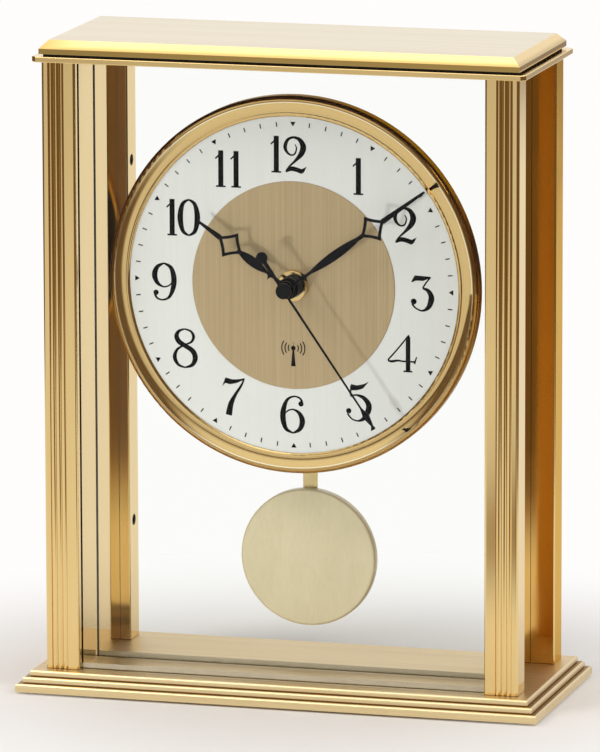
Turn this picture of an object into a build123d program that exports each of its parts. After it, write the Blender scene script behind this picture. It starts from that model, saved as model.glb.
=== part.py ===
from build123d import *
import math
import os

# Desk pendulum clock, millimetres. +Z is up, the dial faces -Y, and the origin is
# under the middle of the base, on the surface that the clock stands on.

# Base: felt, moulded plinth and the screws that hold the columns
felt_thickness = 0.8
felt_inset = 3.0
felt_rounding = 1.0
base_half_width = 97.1
base_half_depth = 41.7
base_thickness = 7.35
step_count = 3
step_run = 2.15
first_step_height = 2.95
step_nose = 0.85
quirk_depth = 0.35
quirk_height = 0.4

# Columns, side panels and the two panes
column_height = 221.95
column_outer = 88.0
front_column_inner = 75.5
front_column_front = -32.6
front_column_back = -22.4
rear_column_inner = 72.0
rear_column_front = 21.3
rear_column_back = 32.0
column_rounding = 0.6
reeds_start = 79.7
reed_width = 2.0
reed_count = 3
reed_rise = 0.45
front_column_rounding = 0.9
panel_inner = 76.0
panel_outer = 79.0
slot_depth = 1.1
slot_play = 0.1
glass_thickness = 3.0
front_glass_front = -29.7
middle_glass_front = -8.0
front_glass_half_width = 76.9
middle_glass_half_width = 75.9
base_groove_depth = 1.0
ledge_groove_depth = 0.8

# Top: ledge plate, pad and slab
ledge_half_width = 90.9
ledge_half_depth = 35.6
ledge_thickness = 2.0
ledge_corner_clip = 1.7
ledge_rounding = 0.3
pad_half_width = 87.2
pad_half_depth = 32.6
pad_thickness = 0.8
slab_half_width = 88.5
slab_half_depth = 33.9
slab_thickness = 4.9
slab_chamfer = 3.0

# Column screws, countersunk in the base from below and in the ledge from above
screw_radius = 1.8
screw_play = 0.1
screw_head_radius = 3.5
screw_head_height = 1.6
screw_length = 15.0
front_screw_place = (82.6, -27.0)
rear_screw_place = (80.4, 27.3)
hex_socket = 1.3
hex_socket_depth = 1.0

# Set screws in the inner faces of the rear columns
set_screw_radius = 2.0
set_screw_length = 3.0
set_screw_y = 26.2
set_screw_heights = (52.6, 186.4)

# Dial, bezel and centre nut, about the hand axis
dial_z = 149.73
dial_front = -12.6
dial_thickness = 0.6
dial_radius = 64.4
disc_radius = 37.7
disc_thickness = 0.3
disc_edge = 0.15
pan_back = -8.0
pan_floor = 1.0
pan_radius = 67.3
pan_rib_inner = 62.8
bush_radius = 4.0
bush_play = 0.12
bush_front = -15.3
nut_radius = 5.55
nut_thickness = 1.9
nut_slot_width = 1.3
nut_slot_depth = 1.0
nut_rounding = 0.3
nut_slot_angle = 35.0
washer_radius = 8.0
washer_thickness = 0.5

# Bezel section: radii from the hand axis, and heights in front of the dial
bezel_inner = 61.2
bezel_lip_height = 0.4
bezel_ring_middle = 61.85
bezel_ring_outer = 62.45
bezel_ring_height = 0.75
bezel_ring_crown = 0.05
bezel_dish_inner = 62.6
bezel_dish_foot = 0.45
bezel_dish_middle = 64.9
bezel_crest_radius = 66.5
bezel_crest_height = 1.35
bezel_shoulder_radius = 68.0
bezel_shoulder_height = 0.85
bezel_outer = 68.6
bezel_edge_drop = 0.5
bezel_back = -8.1
bezel_wall = 1.0
bezel_seat = 1.2

# Hands: angle clockwise from twelve, and lengths from the hand axis
hand_thickness = 0.4
hour_plane = -19.1
minute_plane = -22.6
second_plane = -25.4
hour_angle = 304.2
minute_angle = 53.7
second_angle = 145.3
hour_length = 40.4
minute_length = 63.4
second_length = 58.6
hour_collar = 3.9
hour_collar_reach = (0.5, 1.0)
minute_collar = 3.2
minute_collar_reach = (0.6, 0.7)
second_collar = 2.8
second_collar_reach = (0.6, 1.0)
collar_cap = 0.12
grip_gap = 0.02

# Figures of the hour and minute hand: where the cross bar, blade and open loop lie
hour_bar = 8.2
hour_blade = (8.8, 23.4)
hour_blade_half_width = 1.75
hour_loop = (20.7, 31.7)
hour_loop_half_width = 5.35
minute_bar = 8.4
minute_blade = (9.0, 36.4)
minute_blade_half_width = 1.65
minute_loop = (34.3, 45.3)
minute_loop_half_width = 5.25
stem_half_width = 0.55
bar_half_height = 1.5
bar_half_width = 2.3
neck_half_width = 0.75
neck_length = 3.0
loop_border = 1.85
loop_hollow = 0.9
loop_inner_hollow = 0.95
star_hollow = 0.76
spear_half_width = 1.0
point_half_width = 0.42

# Figures of the second hand
needle_half_width = 0.42
needle_end_half_width = 0.3
flare_length = 8.5
flare_half_width = 1.25
flare_widest = 5.2
flare_end = 1.0
flare_neck_half_width = 0.35
flare_tip_half_width = 0.62
tail_half_width = 0.5
tail_end_half_width = 0.8
weight_centre = 14.2
weight_radius = 2.15

# Arbors, one inside the other
running_gap = 0.07
second_arbor_radius = 0.62
second_arbor_proud = 0.1
minute_tube_radius = 1.52
minute_tube_proud = 0.5
hour_tube_radius = 2.45
hour_tube_proud = 0.4
idler_arbor_radius = 0.4

# Movement case, with places across the dial given from the hand axis
case_half_width = 29.2
case_half_height = 28.0
case_wall = 1.2
case_rounding = 3.0
case_front = middle_glass_front + glass_thickness + washer_thickness
joint_overlap = 0.3
case_seam = 2.5
case_back = 9.3
case_bulge_back = 12.3
channel_half_width = 12.0
bay_left = 13.2
tower_half_width = 14.0
tower_top = 55.0
gear_plate_front = 6.9
gear_plate_thickness = 0.8
plate_left = -27.8
plate_bottom = -19.2
plate_top = 26.0
plate_play = 0.2
post_radius = 1.2
post_places = ((-26.4, 3.0), (-26.4, -17.0), (10.2, 20.0), (10.2, -16.0))

# Gear train: modules, teeth, the front face of each wheel, and the directions in
# which each wheel lies from the one that it meshes with
wheel_width = 0.7
tooth_root = 1.1
tooth_tip = 0.75
tooth_root_share = 0.27
tooth_tip_share = 0.1
pinion_lap = 0.1
motion_post_radius = 0.9
bearing_depth = 0.7
motion_module = 0.4
hour_module = 0.384
cannon_teeth = 12
motion_teeth = 36
motion_pinion_teeth = 10
hour_teeth = 40
minute_module = 0.3
minute_teeth = 64
minute_pinion_teeth = 8
second_module = 0.36
second_teeth = 50
second_pinion_teeth = 10
rotor_module = 0.25
minute_idler_teeth = 60
second_idler_teeth = 48
rotor_teeth = 8
hour_layer = -3.0
motion_layer = -2.0
minute_layer = -0.9
minute_idler_layer = 0.2
second_layer = 1.3
second_idler_layer = 2.4
motion_direction = 180.0
minute_idler_direction = 250.0
second_idler_direction = 110.0
minute_rotor_direction = 210.0
second_rotor_direction = 150.0
magnet_radius = 2.2
magnet_width = 1.6
magnet_clearance = 0.3

# Stepping motors: the edges of each stator are given from its rotor's arbor, as left
# and right of the wide bar, right of the far arm, foot and head
stator_gap = 0.5
stator_thickness = 0.8
stator_arm = 2.4
stator_shelf = 3.6
stator_setback = 0.7
minute_stator = (-11.6, 3.5, -2.5, -3.6, 17.0)
second_stator = (-14.8, 3.8, 3.8, -3.4, 9.2)
coil_radius = 2.5
coil_core_half_width = 1.3
coil_core_half_depth = 0.5
coil_gap = 0.8

# Battery, board and buttons
battery_radius = 7.1
battery_length = 49.2
battery_rounding = 0.8
battery_cap_radius = 2.7
battery_cap_length = 1.3
battery_y = 4.0
contact_gap = 0.05
plus_contact_width = 11.0
plus_contact_depth = 9.0
bow_height = 2.0
bow_half_width = 5.0
bow_half_depth = 4.0
board_thickness = 1.0
board_edges = (-27.6, -13.6, -19.0, 24.0)
chip_edges = (-24.0, -17.0, 12.5, 19.5)
chip_thickness = 1.0
crystal_place = (-15.4, 12.0)
crystal_radius = 0.95
crystal_length = 6.2
button_x = -20.5
button_heights = (-14.0, -4.0, 6.0)
button_names = ("reset_button", "receive_button", "set_button")
button_radius = 1.7
button_flange_radius = 2.4
button_flange_width = 0.6
button_proud = 1.7
button_play = 0.2
button_rounding = 0.4
switch_width = 4.6
switch_base = 0.5
switch_key_radius = 1.2
switch_height = 0.75

# Aerial: ferrite rod and its winding, across the foot of the case
aerial_x = -8.0
aerial_y = 1.0
aerial_height = -23.4
ferrite_radius = 2.3
ferrite_length = 36.0
aerial_coil_radius = 3.0
aerial_coil_length = 24.0

# Pendulum, hung on a pin in the tower of the case
pivot_height = 49.0
pivot_radius = 1.0
pin_end_gap = 0.9
pin_head_radius = 1.8
pin_head_thickness = 0.5
pendulum_drop = 152.3
magnet_drop = 12.5
eye_drop = 23.0
rod_width = 5.3
rod_thickness = 0.8
rod_front = 9.8
rod_end = 3.0
rod_rounding = 1.2
rod_lap = 9.0
hanger_front = 10.7
hanger_thickness = 1.5
hanger_top_radius = 3.4
hanger_hub_radius = 2.6
hanger_hub_gap = 0.4
hanger_foot_radius = 3.0
hanger_neck_half_width = 2.4
hanger_stud_radius = 1.2
drive_magnet_radius = 5.0
drive_magnet_border = 0.8
drive_magnet_gap = 0.5
drive_coil_radius = 6.5
drive_coil_bore = 2.0
drive_coil_front = 4.8
drive_coil_gap = 0.1
bob_radius = 25.3
bob_front = 6.5
bob_skin = 0.6
bob_rounding = 1.0
bob_plate_thickness = 1.6
bob_plate_play = 0.05
rivet_spread = 6.0
rivet_radius = 0.78
rivet_lap = 0.1
rivet_head_radius = 1.5
rivet_head_height = 0.6

# How far a cutter runs past the face that it cuts
over = 1.0

# Heights that follow from the sizes above
base_top = felt_thickness + base_thickness
ledge_bottom = base_top + column_height
ledge_top = ledge_bottom + ledge_thickness
slab_bottom = ledge_top + pad_thickness
slab_top = slab_bottom + slab_thickness
gear_plate_back = gear_plate_front + gear_plate_thickness
bob_height = pivot_height - pendulum_drop
sides = (-1, 1)


def save(shape, name):
    """Write one sub-part."""
    export_step(shape, f"parts/{name}.step")


def upright(sketch, bottom, top):
    """Solid between two heights, from a sketch in plan."""
    return extrude(Plane.XY.offset(bottom) * sketch, amount=top - bottom)


def facing(sketch, front, back):
    """Solid between two depths, from a sketch seen from the front, about the hand axis."""
    return Pos(0, 0, dial_z) * extrude(Plane.XZ.offset(-back) * sketch, amount=back - front)


def round_bar(radius, front, back, x=0.0, z=0.0):
    """Cylinder along Y at a place given from the hand axis."""
    return facing(Pos(x, z) * Circle(radius), front, back)


def turned(points):
    """Turned part about the hand axis, from (radius, y) points."""
    profile = make_face(Polyline(*points, close=True))
    return Pos(0, 0, dial_z) * revolve(profile, axis=Axis.Y)


def span(left, right, bottom, top):
    """Rectangle between given edges."""
    return Pos((left + right) / 2, (bottom + top) / 2) * Rectangle(right - left, top - bottom)


def other_side(shape):
    """The same shape on the left of the clock."""
    return mirror(shape, about=Plane.YZ)


# Base

def plinth_section(half_length):
    """Outline of the plinth seen along one side: three nosed steps, each on a quirk."""
    rise = (base_thickness - first_step_height) / (step_count - 1)
    section = None
    level = 0.0
    for step in range(step_count):
        out = half_length - step * step_run
        top = first_step_height + step * rise
        foot = quirk_height if step else 0.0
        tier = span(-out, out, level + foot, top)
        tier = fillet(tier.vertices().group_by(Axis.Y)[-1], step_nose)
        if step:
            tier += span(quirk_depth - out, out - quirk_depth, level, level + foot)
        section = tier if section is None else section + tier
        level = top
    return section


def glass_grooves(bottom, top):
    """Grooves that the two panes stand in, as a solid to cut away."""
    grooves = None
    front_pane = (front_glass_front, front_column_inner)
    middle_pane = (middle_glass_front, middle_glass_half_width)
    for front, half_width in (front_pane, middle_pane):
        plan = span(-half_width - slot_play, half_width + slot_play,
                    front - slot_play, front + glass_thickness + slot_play)
        groove = upright(plan, bottom, top)
        grooves = groove if grooves is None else grooves + groove
    return grooves


def screw_places():
    """The four column screws in plan."""
    return [(side * x, y) for x, y in (front_screw_place, rear_screw_place) for side in sides]


def screw(play=0.0):
    """Countersunk screw with its head up at z = 0; with play it is the hole for one."""
    shank = upright(Circle(screw_radius + play), -screw_length - play, -screw_head_height)
    head = Cone(screw_radius + play, screw_head_radius + play, screw_head_height)
    head = Pos(0, 0, -screw_head_height / 2) * head
    body = shank + head
    if not play:
        body -= upright(RegularPolygon(hex_socket, 6), -hex_socket_depth, over)
    return body


def make_base():
    """Plinth from two crossing mouldings, which meet in mitred corners."""
    along_x = extrude(Plane.YZ * plinth_section(base_half_depth), amount=base_half_width, both=True)
    along_y = extrude(Plane.XZ * plinth_section(base_half_width), amount=base_half_depth, both=True)
    plinth = Pos(0, 0, felt_thickness) * (along_x & along_y)
    plinth -= glass_grooves(base_top - base_groove_depth, base_top + over)
    screws = []
    for x, y in screw_places():
        place = Pos(x, y, felt_thickness) * Rot(180, 0, 0)
        plinth -= place * screw(screw_play)
        screws.append(place * screw())
    save(plinth, "base_plinth")
    save(Compound(children=screws), "base_screws")
    felt_half_width = base_half_width - felt_inset
    felt_half_depth = base_half_depth - felt_inset
    felt_plan = RectangleRounded(2 * felt_half_width, 2 * felt_half_depth, felt_rounding)
    save(upright(felt_plan, 0.0, felt_thickness), "base_felt")


# Columns

def reed(left):
    """One half-round rib in plan, as high as the lands beside it."""
    valley = front_column_front + reed_rise
    start = (left, valley)
    end = (left + reed_width, valley)
    crown = (left + reed_width / 2, front_column_front)
    return make_face(Curve() + [ThreePointArc(start, crown, end), Line(end, start)])


def front_column_plan():
    """Right front column in plan, with reeds between two lands and the slots for pane and panel."""
    plan = span(front_column_inner, column_outer, front_column_front, front_column_back)
    corners = plan.vertices().sort_by(Axis.Y)
    plan = fillet(corners[:2], front_column_rounding)
    plan = fillet(plan.vertices().sort_by(Axis.Y)[-2:], column_rounding)
    plan -= span(reeds_start, reeds_start + reed_count * reed_width,
                 front_column_front - over, front_column_front + reed_rise)
    for place in range(reed_count):
        plan += reed(reeds_start + place * reed_width)
    plan -= span(front_column_inner - over, front_glass_half_width + slot_play,
                 front_glass_front - slot_play, front_glass_front + glass_thickness + slot_play)
    plan -= span(panel_inner - slot_play, panel_outer + slot_play,
                 front_column_back - slot_depth, front_column_back + over)
    return plan


def rear_column_plan():
    """Right rear column in plan, with the slot for the side panel."""
    plan = span(rear_column_inner, column_outer, rear_column_front, rear_column_back)
    plan = fillet(plan.vertices(), column_rounding)
    plan -= span(panel_inner - slot_play, panel_outer + slot_play,
                 rear_column_front - over, rear_column_front + slot_depth)
    return plan


def make_columns():
    """Four columns, drilled for their screws at both ends."""
    front = upright(front_column_plan(), base_top, ledge_bottom)
    rear = upright(rear_column_plan(), base_top, ledge_bottom)
    drilled = []
    for column, (x, y) in ((front, front_screw_place), (rear, rear_screw_place)):
        column -= Pos(x, y, felt_thickness) * Rot(180, 0, 0) * screw(screw_play)
        column -= Pos(x, y, ledge_top) * screw(screw_play)
        drilled.append(column)
    front, rear = drilled
    grips = []
    for height in set_screw_heights:
        hole = Pos(rear_column_inner, set_screw_y, height) * Rot(0, 90, 0)
        rear -= hole * upright(Circle(set_screw_radius + screw_play), -over, set_screw_length)
        grip = upright(Circle(set_screw_radius), 0.0, set_screw_length)
        grip -= upright(RegularPolygon(hex_socket, 6), -over, hex_socket_depth)
        grips.append(hole * grip)
    save(front, "front_right_column")
    save(other_side(front), "front_left_column")
    save(rear, "rear_right_column")
    save(other_side(rear), "rear_left_column")
    save(Compound(children=grips + [other_side(grip) for grip in grips]), "column_set_screws")


def make_panes():
    """Side panels, front glass and the glass that carries the dial and movement."""
    panel = upright(span(panel_inner, panel_outer, front_column_back - slot_depth + slot_play,
                         rear_column_front + slot_depth - slot_play), base_top, ledge_bottom)
    save(panel, "right_side_panel")
    save(other_side(panel), "left_side_panel")
    bottom = base_top - base_groove_depth
    top = ledge_bottom + ledge_groove_depth - slot_play
    front_plan = span(-front_glass_half_width, front_glass_half_width,
                      front_glass_front, front_glass_front + glass_thickness)
    front_pane = upright(front_plan, base_top, ledge_bottom)
    tongue_plan = span(-front_column_inner, front_column_inner,
                       front_glass_front, front_glass_front + glass_thickness)
    save(front_pane + upright(tongue_plan, bottom, top), "front_glass")
    middle_plan = span(-middle_glass_half_width, middle_glass_half_width,
                       middle_glass_front, middle_glass_front + glass_thickness)
    middle_pane = upright(middle_plan, bottom, top)
    middle_pane -= round_bar(bush_radius + bush_play, middle_glass_front - over, case_front)
    save(middle_pane, "middle_glass")


# Top

def make_top():
    """Ledge plate with clipped corners, dark pad and chamfered slab."""
    plan = Rectangle(2 * ledge_half_width, 2 * ledge_half_depth)
    plan = chamfer(plan.vertices(), ledge_corner_clip)
    ledge = upright(plan, ledge_bottom, ledge_top)
    rims = ledge.edges().filter_by(Plane.XY)
    ledge = fillet(rims, ledge_rounding)
    ledge -= glass_grooves(ledge_bottom - over, ledge_bottom + ledge_groove_depth)
    screws = []
    for x, y in screw_places():
        ledge -= Pos(x, y, ledge_top) * screw(screw_play)
        screws.append(Pos(x, y, ledge_top) * screw())
    save(ledge, "top_ledge")
    save(Compound(children=screws), "ledge_screws")
    save(upright(Rectangle(2 * pad_half_width, 2 * pad_half_depth), ledge_top, slab_bottom), "top_pad")
    slab = upright(Rectangle(2 * slab_half_width, 2 * slab_half_depth), slab_bottom, slab_top)
    slab = chamfer(slab.edges().group_by(Axis.Z)[-1], slab_chamfer)
    save(slab, "top_slab")


# Dial

def bezel_section():
    """Half section of the bezel: inner ring, dished face, rounded shoulder and wall."""
    lip = (bezel_inner, dial_front - bezel_lip_height)
    ring_middle = (bezel_ring_middle, dial_front - bezel_ring_height - bezel_ring_crown)
    ring_edge = (bezel_ring_outer, dial_front - bezel_ring_height)
    dish_foot = (bezel_dish_inner, dial_front - bezel_dish_foot)
    dish_middle = (bezel_dish_middle, dial_front - bezel_ring_height)
    crest = (bezel_crest_radius, dial_front - bezel_crest_height)
    shoulder = (bezel_shoulder_radius, dial_front - bezel_shoulder_height)
    edge = (bezel_outer, dial_front + bezel_edge_drop)
    wall_inner = bezel_outer - bezel_wall
    outline = [
        Line((bezel_inner, dial_front), lip),
        ThreePointArc(lip, ring_middle, ring_edge),
        Line(ring_edge, dish_foot),
        ThreePointArc(dish_foot, dish_middle, crest),
        ThreePointArc(crest, shoulder, edge),
        Line(edge, (bezel_outer, bezel_back)),
        Line((bezel_outer, bezel_back), (wall_inner, bezel_back)),
        Line((wall_inner, bezel_back), (wall_inner, dial_front + bezel_wall)),
        Line((wall_inner, dial_front + bezel_wall), (wall_inner - bezel_seat, dial_front)),
        Line((wall_inner - bezel_seat, dial_front), (bezel_inner, dial_front)),
    ]
    return make_face(Curve() + outline)


def make_dial():
    """Pan behind the dial, printed dial, raised centre disc, bezel, washer and nut."""
    save(Pos(0, 0, dial_z) * revolve(bezel_section(), axis=Axis.Y), "bezel")
    bore = bush_radius + bush_play
    floor = pan_back - pan_floor
    dial_back = dial_front + dial_thickness
    pan = turned([(bore, pan_back), (pan_radius, pan_back), (pan_radius, floor),
                  (dial_radius, floor), (dial_radius, dial_back), (pan_rib_inner, dial_back),
                  (pan_rib_inner, floor), (bore, floor)])
    save(pan, "dial_pan")
    dial = facing(Circle(dial_radius) - Circle(bore), dial_front, dial_back)
    save(dial, "dial_plate")
    disc = facing(Circle(disc_radius) - Circle(bore), dial_front - disc_thickness, dial_front)
    rim = disc.edges().filter_by(GeomType.CIRCLE).sort_by(SortBy.RADIUS)[-2:].sort_by(Axis.Y)[0]
    save(chamfer(rim, disc_edge), "dial_centre_disc")
    nut_back = dial_front - disc_thickness
    nut = facing(Circle(nut_radius) - Circle(bush_radius + slot_play), nut_back - nut_thickness, nut_back)
    rim = nut.edges().filter_by(GeomType.CIRCLE).sort_by(SortBy.RADIUS)[-2:].sort_by(Axis.Y)[0]
    nut = fillet(rim, nut_rounding)
    slot = Rot(0, 0, nut_slot_angle) * Rectangle(2 * nut_radius + over, nut_slot_width)
    nut -= facing(slot, nut_back - nut_thickness - over, nut_back - nut_thickness + nut_slot_depth)
    save(nut, "fixing_nut")
    washer = Circle(washer_radius) - Circle(bush_radius + slot_play)
    save(facing(washer, case_front - washer_thickness, case_front), "rubber_washer")


# Hands, drawn pointing at twelve

def lens(start, end, half_width):
    """Blade between two places on the hand, bounded by two arcs."""
    middle = (start + end) / 2
    right = ThreePointArc((0, start), (half_width, middle), (0, end))
    left = ThreePointArc((0, end), (-half_width, middle), (0, start))
    return make_face(Curve() + [right, left])


def star(near, far, half_width, draw_in):
    """Four-cornered figure with hollow sides."""
    middle = (near + far) / 2
    corners = [(0, near), (half_width, middle), (0, far), (-half_width, middle)]
    sides_in = []
    for start, end in zip(corners, corners[1:] + corners[:1]):
        x = (start[0] + end[0]) / 2 * draw_in
        y = middle + ((start[1] + end[1]) / 2 - middle) * draw_in
        sides_in.append(ThreePointArc(start, (x, y), end))
    return make_face(Curve() + sides_in)


def open_star(near, far, half_width):
    """The openwork loop of a hand."""
    outer = star(near, far, half_width, loop_hollow)
    inner = star(near + loop_border, far - loop_border, half_width - loop_border, loop_inner_hollow)
    return outer - inner


def fancy_hand(length, bar, blade, blade_half_width, loop, loop_half_width):
    """Hour or minute hand: stem, cross bar, swelling blade, open loop and tapered tip."""
    sketch = span(-stem_half_width, stem_half_width, 0.0, blade[0] + neck_length)
    sketch += Pos(0, bar) * star(-bar_half_height, bar_half_height, bar_half_width, star_hollow)
    sketch += lens(blade[0], blade[1], blade_half_width)
    sketch += open_star(loop[0], loop[1], loop_half_width)
    sketch += span(-neck_half_width, neck_half_width, blade[1] - neck_length, loop[0] + loop_border / 2)
    foot = loop[1] - loop_border / 2
    sketch += Polygon((-spear_half_width, foot), (spear_half_width, foot),
                      (point_half_width, length), (-point_half_width, length), align=None)
    return sketch


def second_hand_sketch():
    """Needle with a flared tip, and a tail that ends in a round counterweight."""
    narrow = needle_end_half_width
    flare_start = second_length - flare_length
    widest = second_length - flare_widest
    tip_start = second_length - flare_end
    tip = flare_tip_half_width
    needle = Polygon((-needle_half_width, 0), (needle_half_width, 0), (narrow, flare_start + over),
                     (-narrow, flare_start + over), align=None)
    flare = Polygon((-narrow, flare_start), (narrow, flare_start), (flare_half_width, widest),
                    (flare_neck_half_width, tip_start), (tip, second_length), (-tip, second_length),
                    (-flare_neck_half_width, tip_start), (-flare_half_width, widest), align=None)
    tail = Polygon((-tail_end_half_width, -weight_centre), (tail_end_half_width, -weight_centre),
                   (tail_half_width, 0), (-tail_half_width, 0), align=None)
    return needle + flare + tail + Pos(0, -weight_centre) * Circle(weight_radius)


def mounted(sketch, angle, plane, collar, reach):
    """Flat hand turned to its angle, on a round collar that reaches ahead and behind."""
    hand = facing(Rot(0, 0, -angle) * sketch, plane, plane + hand_thickness)
    return hand + round_bar(collar, plane - reach[0], plane + reach[1])


def make_hands():
    """Three hands, each a flat stamping on its collar."""
    hour_sketch = fancy_hand(hour_length, hour_bar, hour_blade, hour_blade_half_width,
                             hour_loop, hour_loop_half_width)
    hour = mounted(hour_sketch, hour_angle, hour_plane, hour_collar, hour_collar_reach)
    hour -= round_bar(hour_tube_radius + grip_gap, hour_plane - over, hour_plane + 2 * over)
    save(hour, "hour_hand")
    minute_sketch = fancy_hand(minute_length, minute_bar, minute_blade, minute_blade_half_width,
                               minute_loop, minute_loop_half_width)
    minute = mounted(minute_sketch, minute_angle, minute_plane, minute_collar, minute_collar_reach)
    minute -= round_bar(minute_tube_radius + grip_gap, minute_plane - over, minute_plane + 2 * over)
    save(minute, "minute_hand")
    second = mounted(second_hand_sketch(), second_angle, second_plane, second_collar, second_collar_reach)
    second -= round_bar(second_arbor_radius + grip_gap, second_plane - collar_cap, second_plane + 2 * over)
    save(second, "second_hand")


# Gear train

def polar(distance, direction, start=(0.0, 0.0)):
    """Place at a distance and direction from another."""
    angle = math.radians(direction)
    return (start[0] + distance * math.cos(angle), start[1] + distance * math.sin(angle))


def centre_distance(module, teeth, other_teeth):
    """Distance between the arbors of two wheels in mesh."""
    return module * (teeth + other_teeth) / 2


def gear(module, teeth, phase):
    """Outline of a wheel: one tooth points in the direction of its phase."""
    pitch = 2 * math.pi / teeth
    root = module * (teeth / 2 - tooth_root)
    tip = module * (teeth / 2 + tooth_tip)
    corners = ((root, -tooth_root_share), (tip, -tooth_tip_share),
               (tip, tooth_tip_share), (root, tooth_root_share))
    points = []
    for tooth in range(teeth):
        middle = math.radians(phase) + tooth * pitch
        for radius, share in corners:
            angle = middle + share * pitch
            points.append((radius * math.cos(angle), radius * math.sin(angle)))
    return make_face(Polyline(*points, close=True))


def meshed_phase(direction, phase, teeth, other_teeth):
    """Phase of the wheel that lies in a direction from one with a known phase."""
    ahead = ((direction - phase) * teeth / 360) % 1
    return direction + 180 + (ahead - 0.5) * 360 / other_teeth


def place_gear(module, teeth, phase, place, front, back):
    """Toothed disc at a place given from the hand axis."""
    return facing(Pos(*place) * gear(module, teeth, phase), front, back)


motion_place = polar(centre_distance(motion_module, cannon_teeth, motion_teeth), motion_direction)
minute_idler_place = polar(centre_distance(minute_module, minute_teeth, minute_pinion_teeth),
                           minute_idler_direction)
second_idler_place = polar(centre_distance(second_module, second_teeth, second_pinion_teeth),
                           second_idler_direction)
minute_rotor_place = polar(centre_distance(rotor_module, minute_idler_teeth, rotor_teeth),
                           minute_rotor_direction, minute_idler_place)
second_rotor_place = polar(centre_distance(rotor_module, second_idler_teeth, rotor_teeth),
                           second_rotor_direction, second_idler_place)
arbor_front = case_front + case_wall - bearing_depth
arbor_back = gear_plate_back - slot_play


def make_centre_wheels():
    """Hour, minute and second wheels with their tubes and arbor, and the motion wheel."""
    motion_phase = meshed_phase(motion_direction, 0.0, cannon_teeth, motion_teeth)
    pinion_phase = meshed_phase(motion_direction, 0.0, hour_teeth, motion_pinion_teeth)
    hour_back = hour_layer + wheel_width
    hour = place_gear(hour_module, hour_teeth, 0.0, (0, 0), hour_layer, hour_back)
    hour += round_bar(hour_tube_radius, hour_plane - hour_tube_proud, hour_back)
    hour -= round_bar(minute_tube_radius + running_gap, hour_plane - over, hour_back + over)
    save(hour, "hour_wheel")
    minute_back = minute_layer + wheel_width
    minute = place_gear(minute_module, minute_teeth, 0.0, (0, 0), minute_layer, minute_back)
    minute += place_gear(motion_module, cannon_teeth, 0.0, (0, 0), motion_layer, motion_layer + wheel_width)
    minute += round_bar(minute_tube_radius, minute_plane - minute_tube_proud, minute_back)
    minute -= round_bar(second_arbor_radius + running_gap, minute_plane - over, minute_back + over)
    save(minute, "minute_wheel")
    second = place_gear(second_module, second_teeth, 0.0, (0, 0), second_layer, second_layer + wheel_width)
    second += round_bar(second_arbor_radius, second_plane - second_arbor_proud, arbor_back)
    save(second, "second_wheel")
    motion = place_gear(motion_module, motion_teeth, motion_phase, motion_place,
                        motion_layer, motion_layer + wheel_width)
    motion += place_gear(hour_module, motion_pinion_teeth, pinion_phase, motion_place,
                         hour_layer, motion_layer)
    motion -= round_bar(motion_post_radius + running_gap, hour_layer - over, 0.0, *motion_place)
    save(motion, "motion_wheel")


def idler(pinion, wheel, place, pinion_layer, wheel_layer):
    """Arbor with a pinion and a wheel, each given as module, teeth and phase."""
    body = round_bar(idler_arbor_radius, arbor_front, arbor_back, *place)
    body += place_gear(*pinion, place, pinion_layer - pinion_lap, pinion_layer + wheel_width + pinion_lap)
    body += place_gear(*wheel, place, wheel_layer, wheel_layer + wheel_width)
    return body


def rotor(phase, place, layer):
    """Rotor arbor with its pinion and round magnet."""
    magnet_front = layer + wheel_width + magnet_clearance
    body = round_bar(idler_arbor_radius, arbor_front, arbor_back, *place)
    body += place_gear(rotor_module, rotor_teeth, phase, place,
                       layer - pinion_lap, layer + wheel_width + pinion_lap)
    body += round_bar(magnet_radius, magnet_front, magnet_front + magnet_width, *place)
    return body


def make_trains():
    """The idler and rotor that drive the minute wheel, and those of the second wheel."""
    pinion_phase = meshed_phase(minute_idler_direction, 0.0, minute_teeth, minute_pinion_teeth)
    save(idler((minute_module, minute_pinion_teeth, pinion_phase), (rotor_module, minute_idler_teeth, 0.0),
               minute_idler_place, minute_layer, minute_idler_layer), "minute_idler")
    rotor_phase = meshed_phase(minute_rotor_direction, 0.0, minute_idler_teeth, rotor_teeth)
    save(rotor(rotor_phase, minute_rotor_place, minute_idler_layer), "minute_rotor")
    pinion_phase = meshed_phase(second_idler_direction, 0.0, second_teeth, second_pinion_teeth)
    save(idler((second_module, second_pinion_teeth, pinion_phase), (rotor_module, second_idler_teeth, 0.0),
               second_idler_place, second_layer, second_idler_layer), "second_idler")
    rotor_phase = meshed_phase(second_rotor_direction, 0.0, second_idler_teeth, rotor_teeth)
    save(rotor(rotor_phase, second_rotor_place, second_idler_layer), "second_rotor")


def stator(place, edges):
    """Iron frame round a rotor: a wide bar with the rotor's hole, two arms and a bridge."""
    x, z = place
    left, right, far_arm, foot, head = edges
    plan = span(x + left, x + right, z + foot, z + stator_shelf)
    plan += span(x + left, x + left + stator_arm, z, z + head)
    plan += span(x + far_arm - stator_arm, x + far_arm, z, z + head)
    plan += span(x + left, x + far_arm, z + head - stator_arm, z + head)
    return plan - Pos(x, z) * Circle(magnet_radius + stator_gap)


def motor_coil(length):
    """Winding along +Z round the arm of a stator."""
    core = Rectangle(2 * coil_core_half_width, 2 * coil_core_half_depth)
    return upright(Circle(coil_radius) - core, 0.0, length)


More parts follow.
